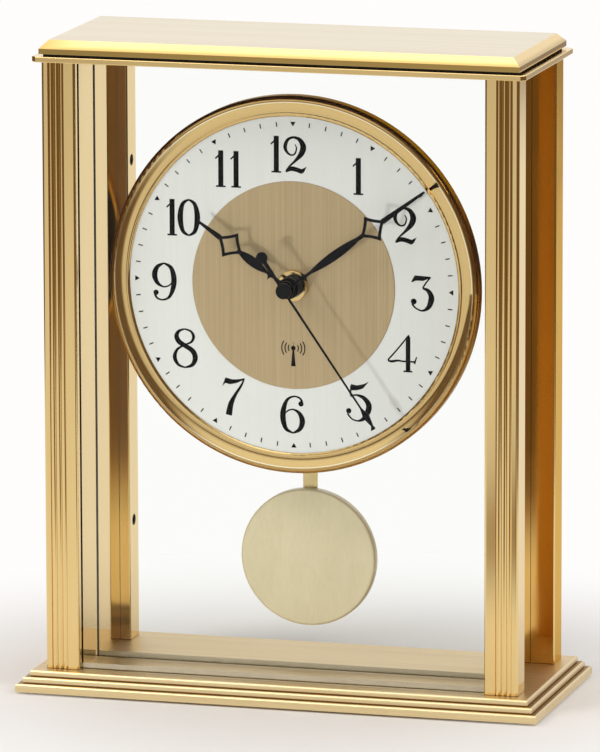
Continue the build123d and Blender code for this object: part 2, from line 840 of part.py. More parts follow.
def make_motors():
    """Stator plates round the rotor magnets, and the coil that each one carries."""
    minute_front = minute_idler_layer + wheel_width + stator_setback
    minute_plate = facing(stator(minute_rotor_place, minute_stator),
                          minute_front, minute_front + stator_thickness)
    x, z = minute_rotor_place
    left, _, _, _, head = minute_stator
    coil_foot = stator_shelf + coil_gap
    minute_coil = motor_coil(head - stator_arm - coil_gap - coil_foot)
    minute_coil = Pos(x + left + stator_arm / 2, minute_front + stator_thickness / 2,
                      dial_z + z + coil_foot) * minute_coil
    second_front = second_idler_layer + wheel_width + stator_setback
    second_plate = facing(stator(second_rotor_place, second_stator),
                          second_front, second_front + stator_thickness)
    x, z = second_rotor_place
    left, _, far_arm, _, head = second_stator
    coil_foot = left + stator_arm + coil_gap
    second_coil = motor_coil(far_arm - stator_arm - coil_gap - coil_foot)
    second_coil = Pos(x + coil_foot, second_front + stator_thickness / 2,
                      dial_z + z + head - stator_arm / 2) * Rot(0, 90, 0) * second_coil
    save(Compound(children=[minute_plate, second_plate]), "stators")
    save(Compound(children=[minute_coil, second_coil]), "motor_coils")


# Movement case

def case_outline(inset):
    """Movement case and its tower seen from the front, drawn in by an inset."""
    width = 2 * (case_half_width - inset)
    height = 2 * (case_half_height - inset)
    body = RectangleRounded(width, height, case_rounding - inset)
    tower_bottom = case_half_height - 2 * case_rounding
    tower = Pos(0, (tower_bottom + tower_top) / 2)
    tower *= RectangleRounded(2 * (tower_half_width - inset), tower_top - tower_bottom - 2 * inset,
                              case_rounding - inset)
    return body + tower


def case_rooms():
    """Openings of the gear room, battery bay and tower room, seen from the front."""
    inner = case_outline(case_wall)
    bay_wall = span(bay_left - case_wall, bay_left, -case_half_height, case_half_height)
    tower_floor = span(-tower_half_width, tower_half_width, case_half_height - case_wall, case_half_height)
    return inner - bay_wall - tower_floor


def bay_outline():
    """Battery bay seen from the front."""
    inner = RectangleRounded(2 * (case_half_width - case_wall), 2 * (case_half_height - case_wall),
                             case_rounding - case_wall)
    return inner & span(bay_left, case_half_width, -case_half_height, case_half_height)


def make_front_case():
    """Front half with the threaded bush, the bearing holes, motion post and plate posts."""
    floor = case_front + case_wall
    case = facing(case_outline(0.0), case_front, case_seam)
    case -= facing(case_rooms(), floor, case_seam + over)
    case += round_bar(bush_radius, bush_front, floor - joint_overlap)
    case -= round_bar(hour_tube_radius + running_gap, bush_front - over, floor + over)
    for place in (minute_idler_place, second_idler_place, minute_rotor_place, second_rotor_place):
        case -= round_bar(idler_arbor_radius + running_gap, arbor_front - slot_play, floor + over, *place)
    case += round_bar(motion_post_radius, floor - joint_overlap,
                      motion_layer + wheel_width + pinion_lap, *motion_place)
    for place in post_places:
        case += round_bar(post_radius, floor - joint_overlap, gear_plate_front, *place)
    save(case, "movement_front_case")


def make_rear_case():
    """Rear half with a channel for the rod, the open battery bay and the button holes."""
    bulge = RectangleRounded(2 * case_half_width, 2 * case_half_height, case_rounding)
    bulge -= span(-channel_half_width, channel_half_width, -case_half_height - over, case_half_height + over)
    case = facing(case_outline(0.0), case_seam, case_back)
    case += facing(bulge, case_back - case_wall, case_bulge_back)
    case -= facing(case_rooms(), case_seam - over, case_back - case_wall)
    case -= facing(bay_outline(), case_seam - over, case_bulge_back + over)
    inner = RectangleRounded(2 * (case_half_width - case_wall), 2 * (case_half_height - case_wall),
                             case_rounding - case_wall)
    left_room = inner & span(-case_half_width, -bay_left, -case_half_height, case_half_height)
    case -= facing(left_room, case_seam, case_bulge_back - case_wall)
    for height in button_heights:
        case -= round_bar(button_radius + running_gap, case_back, case_bulge_back + over, button_x, height)
    case -= round_bar(pivot_radius, case_back - case_wall - over, case_back + over, 0.0, pivot_height)
    save(case, "movement_rear_case")


def make_gear_plate():
    """Plate behind the wheels, with a bearing hole for each arbor."""
    plan = span(plate_left, bay_left - case_wall - plate_play, plate_bottom, plate_top)
    for place in (minute_idler_place, second_idler_place, minute_rotor_place, second_rotor_place):
        plan -= Pos(*place) * Circle(idler_arbor_radius + running_gap)
    plan -= Circle(second_arbor_radius + running_gap)
    save(facing(plan, gear_plate_front, gear_plate_back), "gear_plate")


def make_board():
    """Circuit board with its control chip, crystal can and three switches."""
    board_back = gear_plate_back + board_thickness
    save(facing(span(*board_edges), gear_plate_back, board_back), "circuit_board")
    save(facing(span(*chip_edges), board_back, board_back + chip_thickness), "control_chip")
    crystal_x, crystal_height = crystal_place
    crystal = upright(Circle(crystal_radius), 0.0, crystal_length)
    save(Pos(crystal_x, board_back + crystal_radius, dial_z + crystal_height) * crystal, "quartz_crystal")
    switches = []
    for height in button_heights:
        base = Pos(button_x, height) * Rectangle(switch_width, switch_width)
        switch = facing(base, board_back, board_back + switch_base)
        switch += round_bar(switch_key_radius, board_back, board_back + switch_height, button_x, height)
        switches.append(switch)
    save(Compound(children=switches), "button_switches")


def make_buttons():
    """Three push buttons, each held in the case by a flange."""
    flange_back = case_bulge_back - case_wall - button_play
    foot = flange_back - button_flange_width
    for name, height in zip(button_names, button_heights):
        button = round_bar(button_radius, foot, case_bulge_back + button_proud, button_x, height)
        rim = button.edges().sort_by(Axis.Y)[-1]
        button = fillet(rim, button_rounding)
        button += round_bar(button_flange_radius, foot, flange_back, button_x, height)
        save(button, name)


def along_x_bar(radius, length, x, y, z):
    """Cylinder along X, centred on a place given from the hand axis."""
    return Pos(x, y, dial_z + z) * Rot(0, 90, 0) * Cylinder(radius, length)


def make_aerial():
    """Ferrite rod with its winding."""
    save(along_x_bar(ferrite_radius, ferrite_length, aerial_x, aerial_y, aerial_height), "aerial_rod")
    winding = along_x_bar(aerial_coil_radius, aerial_coil_length, aerial_x, aerial_y, aerial_height)
    winding -= along_x_bar(ferrite_radius + grip_gap, ferrite_length, aerial_x, aerial_y, aerial_height)
    save(winding, "aerial_winding")


def make_battery():
    """Battery between a flat contact above and a bowed one below."""
    x = (bay_left + case_half_width - case_wall) / 2
    roof = case_half_height - case_wall
    foot = bow_height - roof
    shell = upright(Circle(battery_radius), foot, foot + battery_length)
    shell = fillet(shell.edges().filter_by(GeomType.CIRCLE), battery_rounding)
    cap_top = foot + battery_length + battery_cap_length
    shell += upright(Circle(battery_cap_radius), foot + battery_length - battery_rounding, cap_top)
    place = Pos(x, battery_y, dial_z)
    save(place * shell, "battery")
    plus = upright(Rectangle(plus_contact_width, plus_contact_depth), cap_top + contact_gap, roof)
    save(place * plus, "battery_plus_contact")
    left = (-bow_half_width, -roof)
    right = (bow_half_width, -roof)
    bow = ThreePointArc(left, (0.0, foot - contact_gap), right)
    blade = make_face(Curve() + [bow, Line(right, left)])
    save(place * extrude(Plane.XZ * blade, amount=bow_half_depth, both=True), "battery_minus_contact")


# Pendulum, drawn hanging straight down

def make_drive():
    """Coil in the tower, and the pin that the pendulum hangs on."""
    coil = Circle(drive_coil_radius) - Circle(drive_coil_bore)
    coil_back = case_back - case_wall - drive_coil_gap
    save(facing(Pos(0, pivot_height - magnet_drop) * coil, drive_coil_front, coil_back), "drive_coil")
    pin_end = hanger_front + hanger_thickness + pin_end_gap
    pin = round_bar(pivot_radius, case_back - case_wall, pin_end, 0.0, pivot_height)
    pin += round_bar(pin_head_radius, pin_end - pin_head_thickness, pin_end, 0.0, pivot_height)
    save(pin, "pendulum_pin")


def hanger_sketch():
    """Flat lever from the pivot past the magnet to the stud for the rod."""
    top = Pos(0, pivot_height) * Circle(hanger_top_radius)
    middle = Pos(0, pivot_height - magnet_drop) * Circle(drive_magnet_radius + drive_magnet_border)
    foot = Pos(0, pivot_height - eye_drop) * Circle(hanger_foot_radius)
    neck = span(-hanger_neck_half_width, hanger_neck_half_width, pivot_height - eye_drop, pivot_height)
    return top + middle + foot + neck


def make_hanger():
    """Hanger with its hub and stud, and the magnet that the drive coil pushes."""
    bore = Pos(0, pivot_height) * Circle(pivot_radius + running_gap)
    hanger = facing(hanger_sketch() - bore, hanger_front, hanger_front + hanger_thickness)
    hub = Pos(0, pivot_height) * Circle(hanger_hub_radius) - bore
    hanger += facing(hub, case_back + hanger_hub_gap, hanger_front)
    hanger += round_bar(hanger_stud_radius, rod_front, hanger_front, 0.0, pivot_height - eye_drop)
    save(hanger, "pendulum_hanger")
    magnet = round_bar(drive_magnet_radius, case_back + drive_magnet_gap, hanger_front,
                       0.0, pivot_height - magnet_drop)
    save(magnet, "pendulum_magnet")


def make_bob():
    """Strip rod, and the round bob with its back plate and rivets."""
    eye = pivot_height - eye_drop
    rod_back = rod_front + rod_thickness
    rivet_heights = (bob_height - rivet_spread, bob_height + rivet_spread)
    rod = span(-rod_width / 2, rod_width / 2, bob_height - rod_lap, eye + rod_end)
    rod = fillet(rod.vertices(), rod_rounding) - Pos(0, eye) * Circle(hanger_stud_radius + running_gap)
    plate = Pos(0, bob_height) * Circle(bob_radius - bob_skin - bob_plate_play)
    plate_front = rod_front - bob_plate_thickness
    rivets = []
    for height in rivet_heights:
        hole = Pos(0, height) * Circle(rivet_radius + grip_gap)
        rod -= hole
        plate -= hole
        rivet = round_bar(rivet_radius, plate_front, rod_back + rivet_lap, 0.0, height)
        rivet += round_bar(rivet_head_radius, rod_back, rod_back + rivet_head_height, 0.0, height)
        rivets.append(rivet)
    save(facing(rod, rod_front, rod_back), "pendulum_rod")
    save(facing(plate, plate_front, rod_front), "bob_back_plate")
    save(Compound(children=rivets), "bob_rivets")
    shell = facing(Pos(0, bob_height) * Circle(bob_radius), bob_front, rod_front)
    shell = fillet(shell.edges().filter_by(GeomType.CIRCLE).sort_by(Axis.Y)[0], bob_rounding)
    hollow = Pos(0, bob_height) * Circle(bob_radius - bob_skin)
    shell -= facing(hollow, bob_front + bob_skin, rod_front + over)
    save(shell, "bob_shell")


os.makedirs("parts", exist_ok=True)
make_base()
make_columns()
make_panes()
make_top()
make_dial()
make_hands()
make_centre_wheels()
make_trains()
make_motors()
make_front_case()
make_rear_case()
make_gear_plate()
make_board()
make_buttons()
make_aerial()
make_battery()
make_drive()
make_hanger()
make_bob()
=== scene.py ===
import math
import bpy
import bmesh
from mathutils import Matrix, Vector
from mathutils.geometry import delaunay_2d_cdt


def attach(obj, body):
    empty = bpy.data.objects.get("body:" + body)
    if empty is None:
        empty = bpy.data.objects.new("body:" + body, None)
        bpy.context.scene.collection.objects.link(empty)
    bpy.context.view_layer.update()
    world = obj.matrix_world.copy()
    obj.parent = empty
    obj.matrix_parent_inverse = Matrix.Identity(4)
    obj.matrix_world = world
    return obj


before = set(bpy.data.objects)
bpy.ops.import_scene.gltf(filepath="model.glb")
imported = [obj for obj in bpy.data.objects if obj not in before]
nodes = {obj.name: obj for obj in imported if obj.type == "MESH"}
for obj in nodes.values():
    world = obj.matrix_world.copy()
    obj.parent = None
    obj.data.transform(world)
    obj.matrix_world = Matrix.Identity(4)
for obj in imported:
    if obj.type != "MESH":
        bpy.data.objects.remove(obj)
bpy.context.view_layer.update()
mm = 0.001
handAxis = 149.73        # mm up, where the hands turn
print("frame loaded,", len(nodes), "pieces")

# Camera

cameraView = {
    "place": (0.74740, -2.61979, 0.63260),   # metres from the middle of the clock's underside
    "turn": 15.954,                          # degrees to the clock's left
    "lookDown": 10.774,
    "roll": -0.165,
    "lens": 368.33,                          # mm
    "sensorWidth": 36.0,
    "farthest": 60.0,                        # metres
}


def makeCamera(view):
    camera = bpy.data.objects.new("photoCamera", bpy.data.cameras.new("photoCamera"))
    camera.data.lens = view["lens"]
    camera.data.sensor_width = view["sensorWidth"]
    camera.data.clip_end = view["farthest"]
    turn = Matrix.Rotation(math.radians(view["turn"]), 4, "Z")
    pitch = Matrix.Rotation(math.radians(90.0 - view["lookDown"]), 4, "X")
    roll = Matrix.Rotation(math.radians(view["roll"]), 4, "Z")
    camera.matrix_world = Matrix.Translation(view["place"]) @ turn @ pitch @ roll
    bpy.context.scene.collection.objects.link(camera)
    bpy.context.scene.camera = camera


makeCamera(cameraView)
print("camera placed")


# Small helpers for shapes and node trees

def circle(radius, count):
    turns = [2 * math.pi * i / count for i in range(count)]
    return [(radius * math.cos(turn), radius * math.sin(turn)) for turn in turns]


def joined(tree, source, target):
    # The source is another node's output or a plain value
    if isinstance(source, bpy.types.NodeSocket):
        tree.links.new(source, target)
    else:
        target.default_value = source


def mathNode(tree, operation, first, second=None, clamp=False):
    node = tree.nodes.new("ShaderNodeMath")
    node.operation = operation
    node.use_clamp = clamp
    joined(tree, first, node.inputs[0])
    if second is not None:
        joined(tree, second, node.inputs[1])
    return node.outputs[0]


def vectorNode(tree, operation, *values):
    node = tree.nodes.new("ShaderNodeVectorMath")
    node.operation = operation
    for value, socket in zip(values, node.inputs):
        joined(tree, value, socket)
    return node.outputs


def remapped(tree, value, fromLow, fromHigh, toLow, toHigh, smooth=False):
    node = tree.nodes.new("ShaderNodeMapRange")
    if smooth:
        node.interpolation_type = "SMOOTHSTEP"
    for name, source in (("Value", value), ("From Min", fromLow), ("From Max", fromHigh), ("To Min", toLow),
                         ("To Max", toHigh)):
        joined(tree, source, node.inputs[name])
    return node.outputs[0]


def mixedColours(tree, factor, first, second):
    node = tree.nodes.new("ShaderNodeMix")
    node.data_type = "RGBA"
    for place, source in ((0, factor), (6, first), (7, second)):
        joined(tree, source + (1.0,) if isinstance(source, tuple) else source, node.inputs[place])
    return node.outputs[2]


def mixedShaders(tree, factor, first, second):
    node = tree.nodes.new("ShaderNodeMixShader")
    for source, socket in zip((factor, first, second), node.inputs):
        joined(tree, source, socket)
    return node.outputs[0]


def noiseOf(tree, vector, scale, detail=2.0, roughness=0.5, distortion=0.0):
    node = tree.nodes.new("ShaderNodeTexNoise")
    for name, source in (("Vector", vector), ("Scale", scale), ("Detail", detail), ("Roughness", roughness),
                         ("Distortion", distortion)):
        joined(tree, source, node.inputs[name])
    return node.outputs["Fac"]


def axesOf(tree, vector):
    axes = tree.nodes.new("ShaderNodeSeparateXYZ")
    joined(tree, vector, axes.inputs[0])
    return axes.outputs


def newMaterial(name):
    material = bpy.data.materials.new(name)
    material.use_nodes = True
    tree = material.node_tree
    coordinates = tree.nodes.new("ShaderNodeTexCoord").outputs
    return material, tree, tree.nodes["Principled BSDF"], coordinates["Object"], coordinates["Normal"]


# Stage: pale floor, white surroundings, soft lamps, and the room that the polished brass mirrors

stageLook = {
    "floorRadius": 9.0,
    "floorCorners": 96,
    "floorColour": (0.95, 0.908, 0.875),
    "floorRoughness": 0.75,
    "floorSpecular": 0.2,
    "fibreScale": 900.0,
    "fibreRange": (0.3, 0.7),
    "fibreDarker": 0.985,         # share of the floor's colour
    "whiteFrom": 0.05,            # metres from the clock where the floor starts to fade to white
    "whiteAt": 0.235,
    "backdropWhite": (1.0, 0.985, 0.97),
    "aroundForDiffuse": 0.52,     # strength of the surroundings as light on the object
}
# What the polished brass mirrors: a white paper strip from in front to behind, dark sides, soft boxes above
room = {
    "stripMiddle": -0.10,         # metres, then where the paper starts to end on each side of that
    "stripHalf": 0.48,
    "stripSoft": 0.16,
    "cameraSide": (0.27, -0.94, 0.0),   # direction in which the room in front of the paper is dark
    "cameraAngles": (9, 24),      # degrees: dark, gone
    "cameraFrom": (0.16, 0.40),   # metres from the clock: starts, full
    "paperNear": 0.92,            # brightness of the paper near the clock and far in front
    "paperFar": 0.66,
    "nearAt": -0.1,               # metres along Y
    "farAt": -1.5,
    "sides": 0.16,
    "sidesColour": (1.0, 0.66, 0.34),
    "warmUpTo": 4.0,              # times the brightness of the sides
    "backdrop": 1.0,
    "backdropEdge": (0.42, 0.60),       # sideways part of the direction where the backdrop ends
    "backdropStart": (-0.05, 0.25),     # backward part of the direction where it begins
    "softBoxes": [                # degrees from the middle where each is full and gone
        {"towards": (-0.20, -0.10, 1.0), "full": 24, "gone": 52, "brightness": 1.9},
        {"towards": (-0.28, -0.86, 0.42), "full": 15, "gone": 30, "brightness": 1.0},
    ],
}
lamps = {
    "highLeft": {"place": (-1.5, -1.6, 1.9), "aim": (0.0, 0.0, 0.12), "size": 1.3, "power": 23.0, "glossy": True},
    "highRight": {"place": (1.9, -0.6, 1.7), "aim": (0.0, 0.0, 0.12), "size": 1.1, "power": 17.5, "glossy": True},
    "lowFront": {"place": (-0.20, -0.42, 0.02), "aim": (0.0, 0.0, 0.17), "size": 0.05, "power": 0.95,
                 "glossy": False},
}


def alongDirection(tree, unit, towards):
    return vectorNode(tree, "DOT_PRODUCT", unit, Vector(towards).normalized())["Value"]


def roomColour(tree, brightness, glossy, white):
    # The dark parts of the room are warm
    light = remapped(tree, brightness, room["sides"], room["warmUpTo"] * room["sides"], 0.0, 1.0)
    dark = mathNode(tree, "MULTIPLY", mathNode(tree, "SUBTRACT", 1.0, light), glossy)
    return mixedColours(tree, dark, white, room["sidesColour"])


def mirroredRoom(tree, direction):
    # Brightness of the room in a direction, as the polished surfaces see it
    unit = vectorNode(tree, "NORMALIZE", direction)["Vector"]
    axes = axesOf(tree, unit)
    sideways = mathNode(tree, "ABSOLUTE", axes["X"])
    within = remapped(tree, sideways, *room["backdropEdge"], 1.0, 0.0, smooth=True)
    behind = remapped(tree, axes["Y"], *room["backdropStart"], 0.0, 1.0, smooth=True)
    walls = remapped(tree, mathNode(tree, "MULTIPLY", within, behind), 0.0, 1.0, room["sides"], room["backdrop"])
    for box in room["softBoxes"]:
        along = alongDirection(tree, unit, box["towards"])
        full, gone = (math.cos(math.radians(box[edge])) for edge in ("full", "gone"))
        inside = remapped(tree, along, gone, full, 0.0, 1.0, smooth=True)
        walls = remapped(tree, inside, 0.0, 1.0, walls, box["brightness"])
    return walls


def mirroredPaper(tree, place):
    # Brightness of the floor at a place, as the polished surfaces see it
    axes = axesOf(tree, place)
    sideways = mathNode(tree, "ABSOLUTE", mathNode(tree, "SUBTRACT", axes["X"], room["stripMiddle"]))
    strip = remapped(tree, sideways, room["stripHalf"], room["stripHalf"] + room["stripSoft"], 1.0, 0.0, smooth=True)
    paper = remapped(tree, axes["Y"], room["farAt"], room["nearAt"], room["paperFar"], room["paperNear"])
    along = alongDirection(tree, vectorNode(tree, "NORMALIZE", place)["Vector"], room["cameraSide"])
    dark, gone = (math.cos(math.radians(angle)) for angle in room["cameraAngles"])
    aside = remapped(tree, along, gone, dark, 0.0, 1.0, smooth=True)
    distance = vectorNode(tree, "LENGTH", place)["Value"]
    away = remapped(tree, distance, *room["cameraFrom"], 0.0, 1.0, smooth=True)
    lit = mathNode(tree, "MULTIPLY", strip, mathNode(tree, "SUBTRACT", 1.0, mathNode(tree, "MULTIPLY", aside, away)))
    return remapped(tree, lit, 0.0, 1.0, room["sides"], paper)


def seenDirectly(tree):
    # First: seen by the camera, also through the panes. Second: seen in polished brass, also through the panes
    path = tree.nodes.new("ShaderNodeLightPath")
    mirrored = mathNode(tree, "GREATER_THAN", path.outputs["Glossy Depth"], 0.5)
    scattered = mathNode(tree, "GREATER_THAN", path.outputs["Diffuse Depth"], 0.5)
    straight = mathNode(tree, "SUBTRACT", 1.0, mathNode(tree, "MAXIMUM", mirrored, scattered))
    seen = mathNode(tree, "MAXIMUM", path.outputs["Is Camera Ray"], path.outputs["Is Transmission Ray"])
    return (mathNode(tree, "MULTIPLY", seen, straight),
            mathNode(tree, "SUBTRACT", mirrored, scattered, clamp=True))


def makeWorld(look):
    world = bpy.data.worlds.new("whiteRoom")
    bpy.context.scene.world = world
    world.use_nodes = True
    tree = world.node_tree
    background = tree.nodes["Background"]
    direct, glossy = seenDirectly(tree)
    strength = remapped(tree, direct, 0.0, 1.0, look["aroundForDiffuse"], 1.0)
    mirrored = mirroredRoom(tree, tree.nodes.new("ShaderNodeTexCoord").outputs["Generated"])
    joined(tree, roomColour(tree, mirrored, glossy, look["backdropWhite"]), background.inputs["Color"])
    joined(tree, remapped(tree, glossy, 0.0, 1.0, strength, mirrored), background.inputs["Strength"])


def makeFloor(look):
    mesh = bpy.data.meshes.new("stageFloor")
    corners = [(x, y, 0.0) for x, y in circle(look["floorRadius"], look["floorCorners"])]
    mesh.from_pydata(corners, [], [list(range(len(corners)))])
    floor = bpy.data.objects.new("stageFloor", mesh)
    bpy.context.scene.collection.objects.link(floor)
    material, tree, sheet, place, _ = newMaterial("floorSheet")
    sheet.inputs["Roughness"].default_value = look["floorRoughness"]
    sheet.inputs["Specular IOR Level"].default_value = look["floorSpecular"]
    fibre = remapped(tree, noiseOf(tree, place, look["fibreScale"], detail=3.0), *look["fibreRange"], 0.0, 1.0)
    darker = tuple(look["fibreDarker"] * part for part in look["floorColour"])
    joined(tree, mixedColours(tree, fibre, look["floorColour"], darker), sheet.inputs["Base Color"])
    distance = vectorNode(tree, "LENGTH", place)["Value"]
    fade = remapped(tree, distance, look["whiteFrom"], look["whiteAt"], 0.0, 1.0, smooth=True)
    direct, glossy = seenDirectly(tree)
    glow = tree.nodes.new("ShaderNodeEmission")
    mirrored = mirroredPaper(tree, place)
    joined(tree, roomColour(tree, mirrored, glossy, look["backdropWhite"]), glow.inputs["Color"])
    joined(tree, remapped(tree, glossy, 0.0, 1.0, 1.0, mirrored), glow.inputs["Strength"])
    glowing = mathNode(tree, "MULTIPLY", fade, mathNode(tree, "MAXIMUM", direct, glossy))
    surface = mixedShaders(tree, glowing, sheet.outputs[0], glow.outputs[0])
    joined(tree, surface, tree.nodes["Material Output"].inputs["Surface"])
    mesh.materials.append(material)


def makeLamp(name, look):
    lamp = bpy.data.lights.new(name, "AREA")
    lamp.shape = "DISK"
    lamp.size = look["size"]
    lamp.energy = look["power"]
    holder = bpy.data.objects.new(name, lamp)
    bpy.context.scene.collection.objects.link(holder)
    direction = Vector(look["aim"]) - Vector(look["place"])
    holder.matrix_world = Matrix.Translation(look["place"]) @ direction.to_track_quat("-Z", "Y").to_matrix().to_4x4()
    holder.visible_camera = False
    holder.visible_glossy = look["glossy"]
    holder.visible_transmission = False


makeWorld(stageLook)
makeFloor(stageLook)
for lampName, lampLook in lamps.items():
    makeLamp(lampName, lampLook)
bpy.context.scene.view_settings.view_transform = "Standard"
print("stage lit by", len(lamps), "lamps")


# Shared surface effects, each one a node group

effectLooks = {
    "brushedGrain": {
        "coarseScale": 0.22,          # of the fine scratches' scale
        "fineShare": 0.65,
        "streakGain": 2.2,
    },
    "handlingMarks": {
        "smudge": (0.38, 0.68),       # noise at which a wiping mark begins and is full
        "speckScale": 1400.0,
        "speckSize": (0.10, 0.22),
        "dustScale": 220.0,
        "dusty": (0.55, 0.75),        # noise at which dust begins and is full
        "upward": (0.3, 1.0),         # upward part of the normal, likewise
    },
    "edgeWearAndGlint": {
        "samples": 4,
        "edge": (0.99, 0.86),         # agreement of the rounded normal with the true one: starts, full
        "patchScale": 260.0,
        "patches": (0.35, 0.7),
        "leastWear": 0.3,
    },
}


def newGroup(name, inputs, outputs):
    group = bpy.data.node_groups.new(name, "ShaderNodeTree")
    for label, kind, value in inputs:
        socket = group.interface.new_socket(name=label, in_out="INPUT", socket_type=kind)
        socket.default_value = value
    for label in outputs:
        group.interface.new_socket(name=label, in_out="OUTPUT", socket_type="NodeSocketFloat")
    return group, group.nodes.new("NodeGroupInput").outputs, group.nodes.new("NodeGroupOutput").inputs


def brushedGrainGroup(name, look):
    # Long scratches: noise stretched along the brushing, a fine one and a coarse one
    group, given, result = newGroup(name, [
        ("Place", "NodeSocketVector", (0.0, 0.0, 0.0)),
        ("Lines Per Metre", "NodeSocketVector", (10.0, 2500.0, 2500.0)),
        ("Contrast", "NodeSocketFloat", 1.0),
    ], ["Streak", "Height"])
    stretched = vectorNode(group, "MULTIPLY", given["Place"], given["Lines Per Metre"])["Vector"]
    fine = mathNode(group, "MULTIPLY", noiseOf(group, stretched, 1.0, detail=3.0, roughness=0.6), look["fineShare"])
    coarse = mathNode(group, "MULTIPLY", noiseOf(group, stretched, look["coarseScale"]), 1.0 - look["fineShare"])
    about = mathNode(group, "SUBTRACT", mathNode(group, "ADD", fine, coarse), 0.5)
    centred = mathNode(group, "MULTIPLY", about, given["Contrast"])
    stronger = mathNode(group, "MULTIPLY", centred, look["streakGain"])
    joined(group, mathNode(group, "ADD", stronger, 0.5, clamp=True), result["Streak"])
    joined(group, centred, result["Height"])
    return group


def handlingMarksGroup(name, look):
    # Faint wiping marks and fine dust, so that no surface is evenly clean
    group, given, result = newGroup(name, [
        ("Place", "NodeSocketVector", (0.0, 0.0, 0.0)),
        ("Mark Size", "NodeSocketFloat", 0.03),
        ("Dust", "NodeSocketFloat", 0.3),
    ], ["Smudge", "Dust Mask"])
    scale = mathNode(group, "DIVIDE", 1.0, given["Mark Size"])
    broad = noiseOf(group, given["Place"], scale, detail=4.0, distortion=0.6)
    joined(group, remapped(group, broad, *look["smudge"], 0.0, 1.0, smooth=True), result["Smudge"])
    specks = group.nodes.new("ShaderNodeTexVoronoi")
    joined(group, look["speckScale"], specks.inputs["Scale"])
    joined(group, given["Place"], specks.inputs["Vector"])
    geometry = group.nodes.new("ShaderNodeNewGeometry")
    upward = remapped(group, axesOf(group, geometry.outputs["Normal"])["Z"], *look["upward"], 0.0, 1.0)
    speck = remapped(group, specks.outputs["Distance"], *look["speckSize"], 1.0, 0.0)
    dusty = remapped(group, noiseOf(group, given["Place"], look["dustScale"]), *look["dusty"], 0.0, 1.0)
    mask = mathNode(group, "MULTIPLY", mathNode(group, "MULTIPLY", speck, dusty), upward)
    joined(group, mathNode(group, "MULTIPLY", mask, given["Dust"], clamp=True), result["Dust Mask"])
    return group


def edgeWearAndGlintGroup(name, look):
    # Where the rounded normal leaves the true one there is an edge; it is made paler, partly by handling wear and
    # partly as a painted highlight
    group, given, result = newGroup(name, [
        ("Place", "NodeSocketVector", (0.0, 0.0, 0.0)),
        ("Width", "NodeSocketFloat", 0.0004),
        ("Amount", "NodeSocketFloat", 0.6),
    ], ["Edge"])
    rounded = group.nodes.new("ShaderNodeBevel")
    rounded.samples = look["samples"]
    joined(group, given["Width"], rounded.inputs["Radius"])
    geometry = group.nodes.new("ShaderNodeNewGeometry")
    agreement = vectorNode(group, "DOT_PRODUCT", rounded.outputs["Normal"], geometry.outputs["Normal"])["Value"]
    edge = remapped(group, agreement, *look["edge"], 0.0, 1.0)
    noise = noiseOf(group, given["Place"], look["patchScale"], detail=3.0)
    wornAndGlint = mathNode(group, "MULTIPLY", edge, remapped(group, noise, *look["patches"], look["leastWear"], 1.0))
    joined(group, mathNode(group, "MULTIPLY", wornAndGlint, given["Amount"], clamp=True), result["Edge"])
    return group


effects = {name: maker(name, effectLooks[name]) for name, maker in (
    ("brushedGrain", brushedGrainGroup), ("handlingMarks", handlingMarksGroup), ("edgeWearAndGlint", edgeWearAndGlintGroup))}
print("shared effects:", ", ".join(effects))


def placedEffect(tree, name, place, **values):
    node = tree.nodes.new("ShaderNodeGroup")
    node.node_tree = effects[name]
    joined(tree, place, node.inputs["Place"])
    for label, value in values.items():
        joined(tree, value, node.inputs[label.replace("_", " ")])
    return node.outputs


def bumped(tree, shader, height, distance):
    bump = tree.nodes.new("ShaderNodeBump")
    joined(tree, distance, bump.inputs["Distance"])
    joined(tree, height, bump.inputs["Height"])
    joined(tree, bump.outputs["Normal"], shader.inputs["Normal"])


def added(tree, value, mask, share):
    return mathNode(tree, "ADD", value, mathNode(tree, "MULTIPLY", mask, share))


def handAxisDistance(tree, place):
    # Metres from the axis of the hands, seen from the front
    flat = vectorNode(tree, "MULTIPLY_ADD", place, (1.0, 0.0, 1.0), (0.0, 0.0, -handAxis * mm))["Vector"]
    return vectorNode(tree, "LENGTH", flat)["Value"]


def banded(tree, body, along, bands):
    # Another colour between two places along a coordinate, both in mm
    for low, high, colour in bands:
        after = mathNode(tree, "GREATER_THAN", along, low * mm)
        before = mathNode(tree, "LESS_THAN", along, high * mm)
        body = mixedColours(tree, mathNode(tree, "MULTIPLY", after, before), body, colour)
    return body


# Brass finishes

brassLook = {
    "gold": ((0.84, 0.60, 0.25), (0.89, 0.67, 0.31)),   # the two ends of the brushed streaks
    "wornAndGlint": (0.93, 0.80, 0.54),       # edges made paler by handling wear and by a painted highlight
    "groove": (0.30, 0.17, 0.055),    # painted shade in narrow grooves and at the columns' feet
    "facing": (0.97, 0.99),           # part of the normal from which a face counts as looking along an axis
}
upright = (3000.0, 3000.0, 8.0)       # brushing lines per metre along X, Y and Z
evenly = (900.0, 900.0, 900.0)
# Painted shade and painted dark reflection: the columns' rear faces get a dark brown
rearOfColumn = {"axis": "Y", "bothWays": False, "range": brassLook["facing"], "colour": (0.50, 0.26, 0.06)}
# Painted reflection: the rear right column's outer sides get a deeper gold for the amber they mirror
outerSide = {"axis": "X", "bothWays": True, "range": brassLook["facing"], "colour": (0.86, 0.60, 0.24)}
# Painted shade: the ledge's underside is near black
underside = {"axis": "Z", "bothWays": False, "range": (-0.97, -0.99), "colour": (0.10, 0.055, 0.02)}
# Painted dark reflection: the bezel's sloping wall gets a dark brown
rimWall = {"axis": "Y", "bothWays": True, "range": (0.45, 0.15), "colour": (0.24, 0.13, 0.038)}
# Painted highlight: a pale ring along the bezel's crest
crestRing = (66.2, 66.55, (0.95, 0.86, 0.60))           # mm from the hand axis
# Painted dark reflection: the bezel's shoulder outside the crest is brown
shoulderRing = (66.55, 70.0, (0.56, 0.36, 0.135))
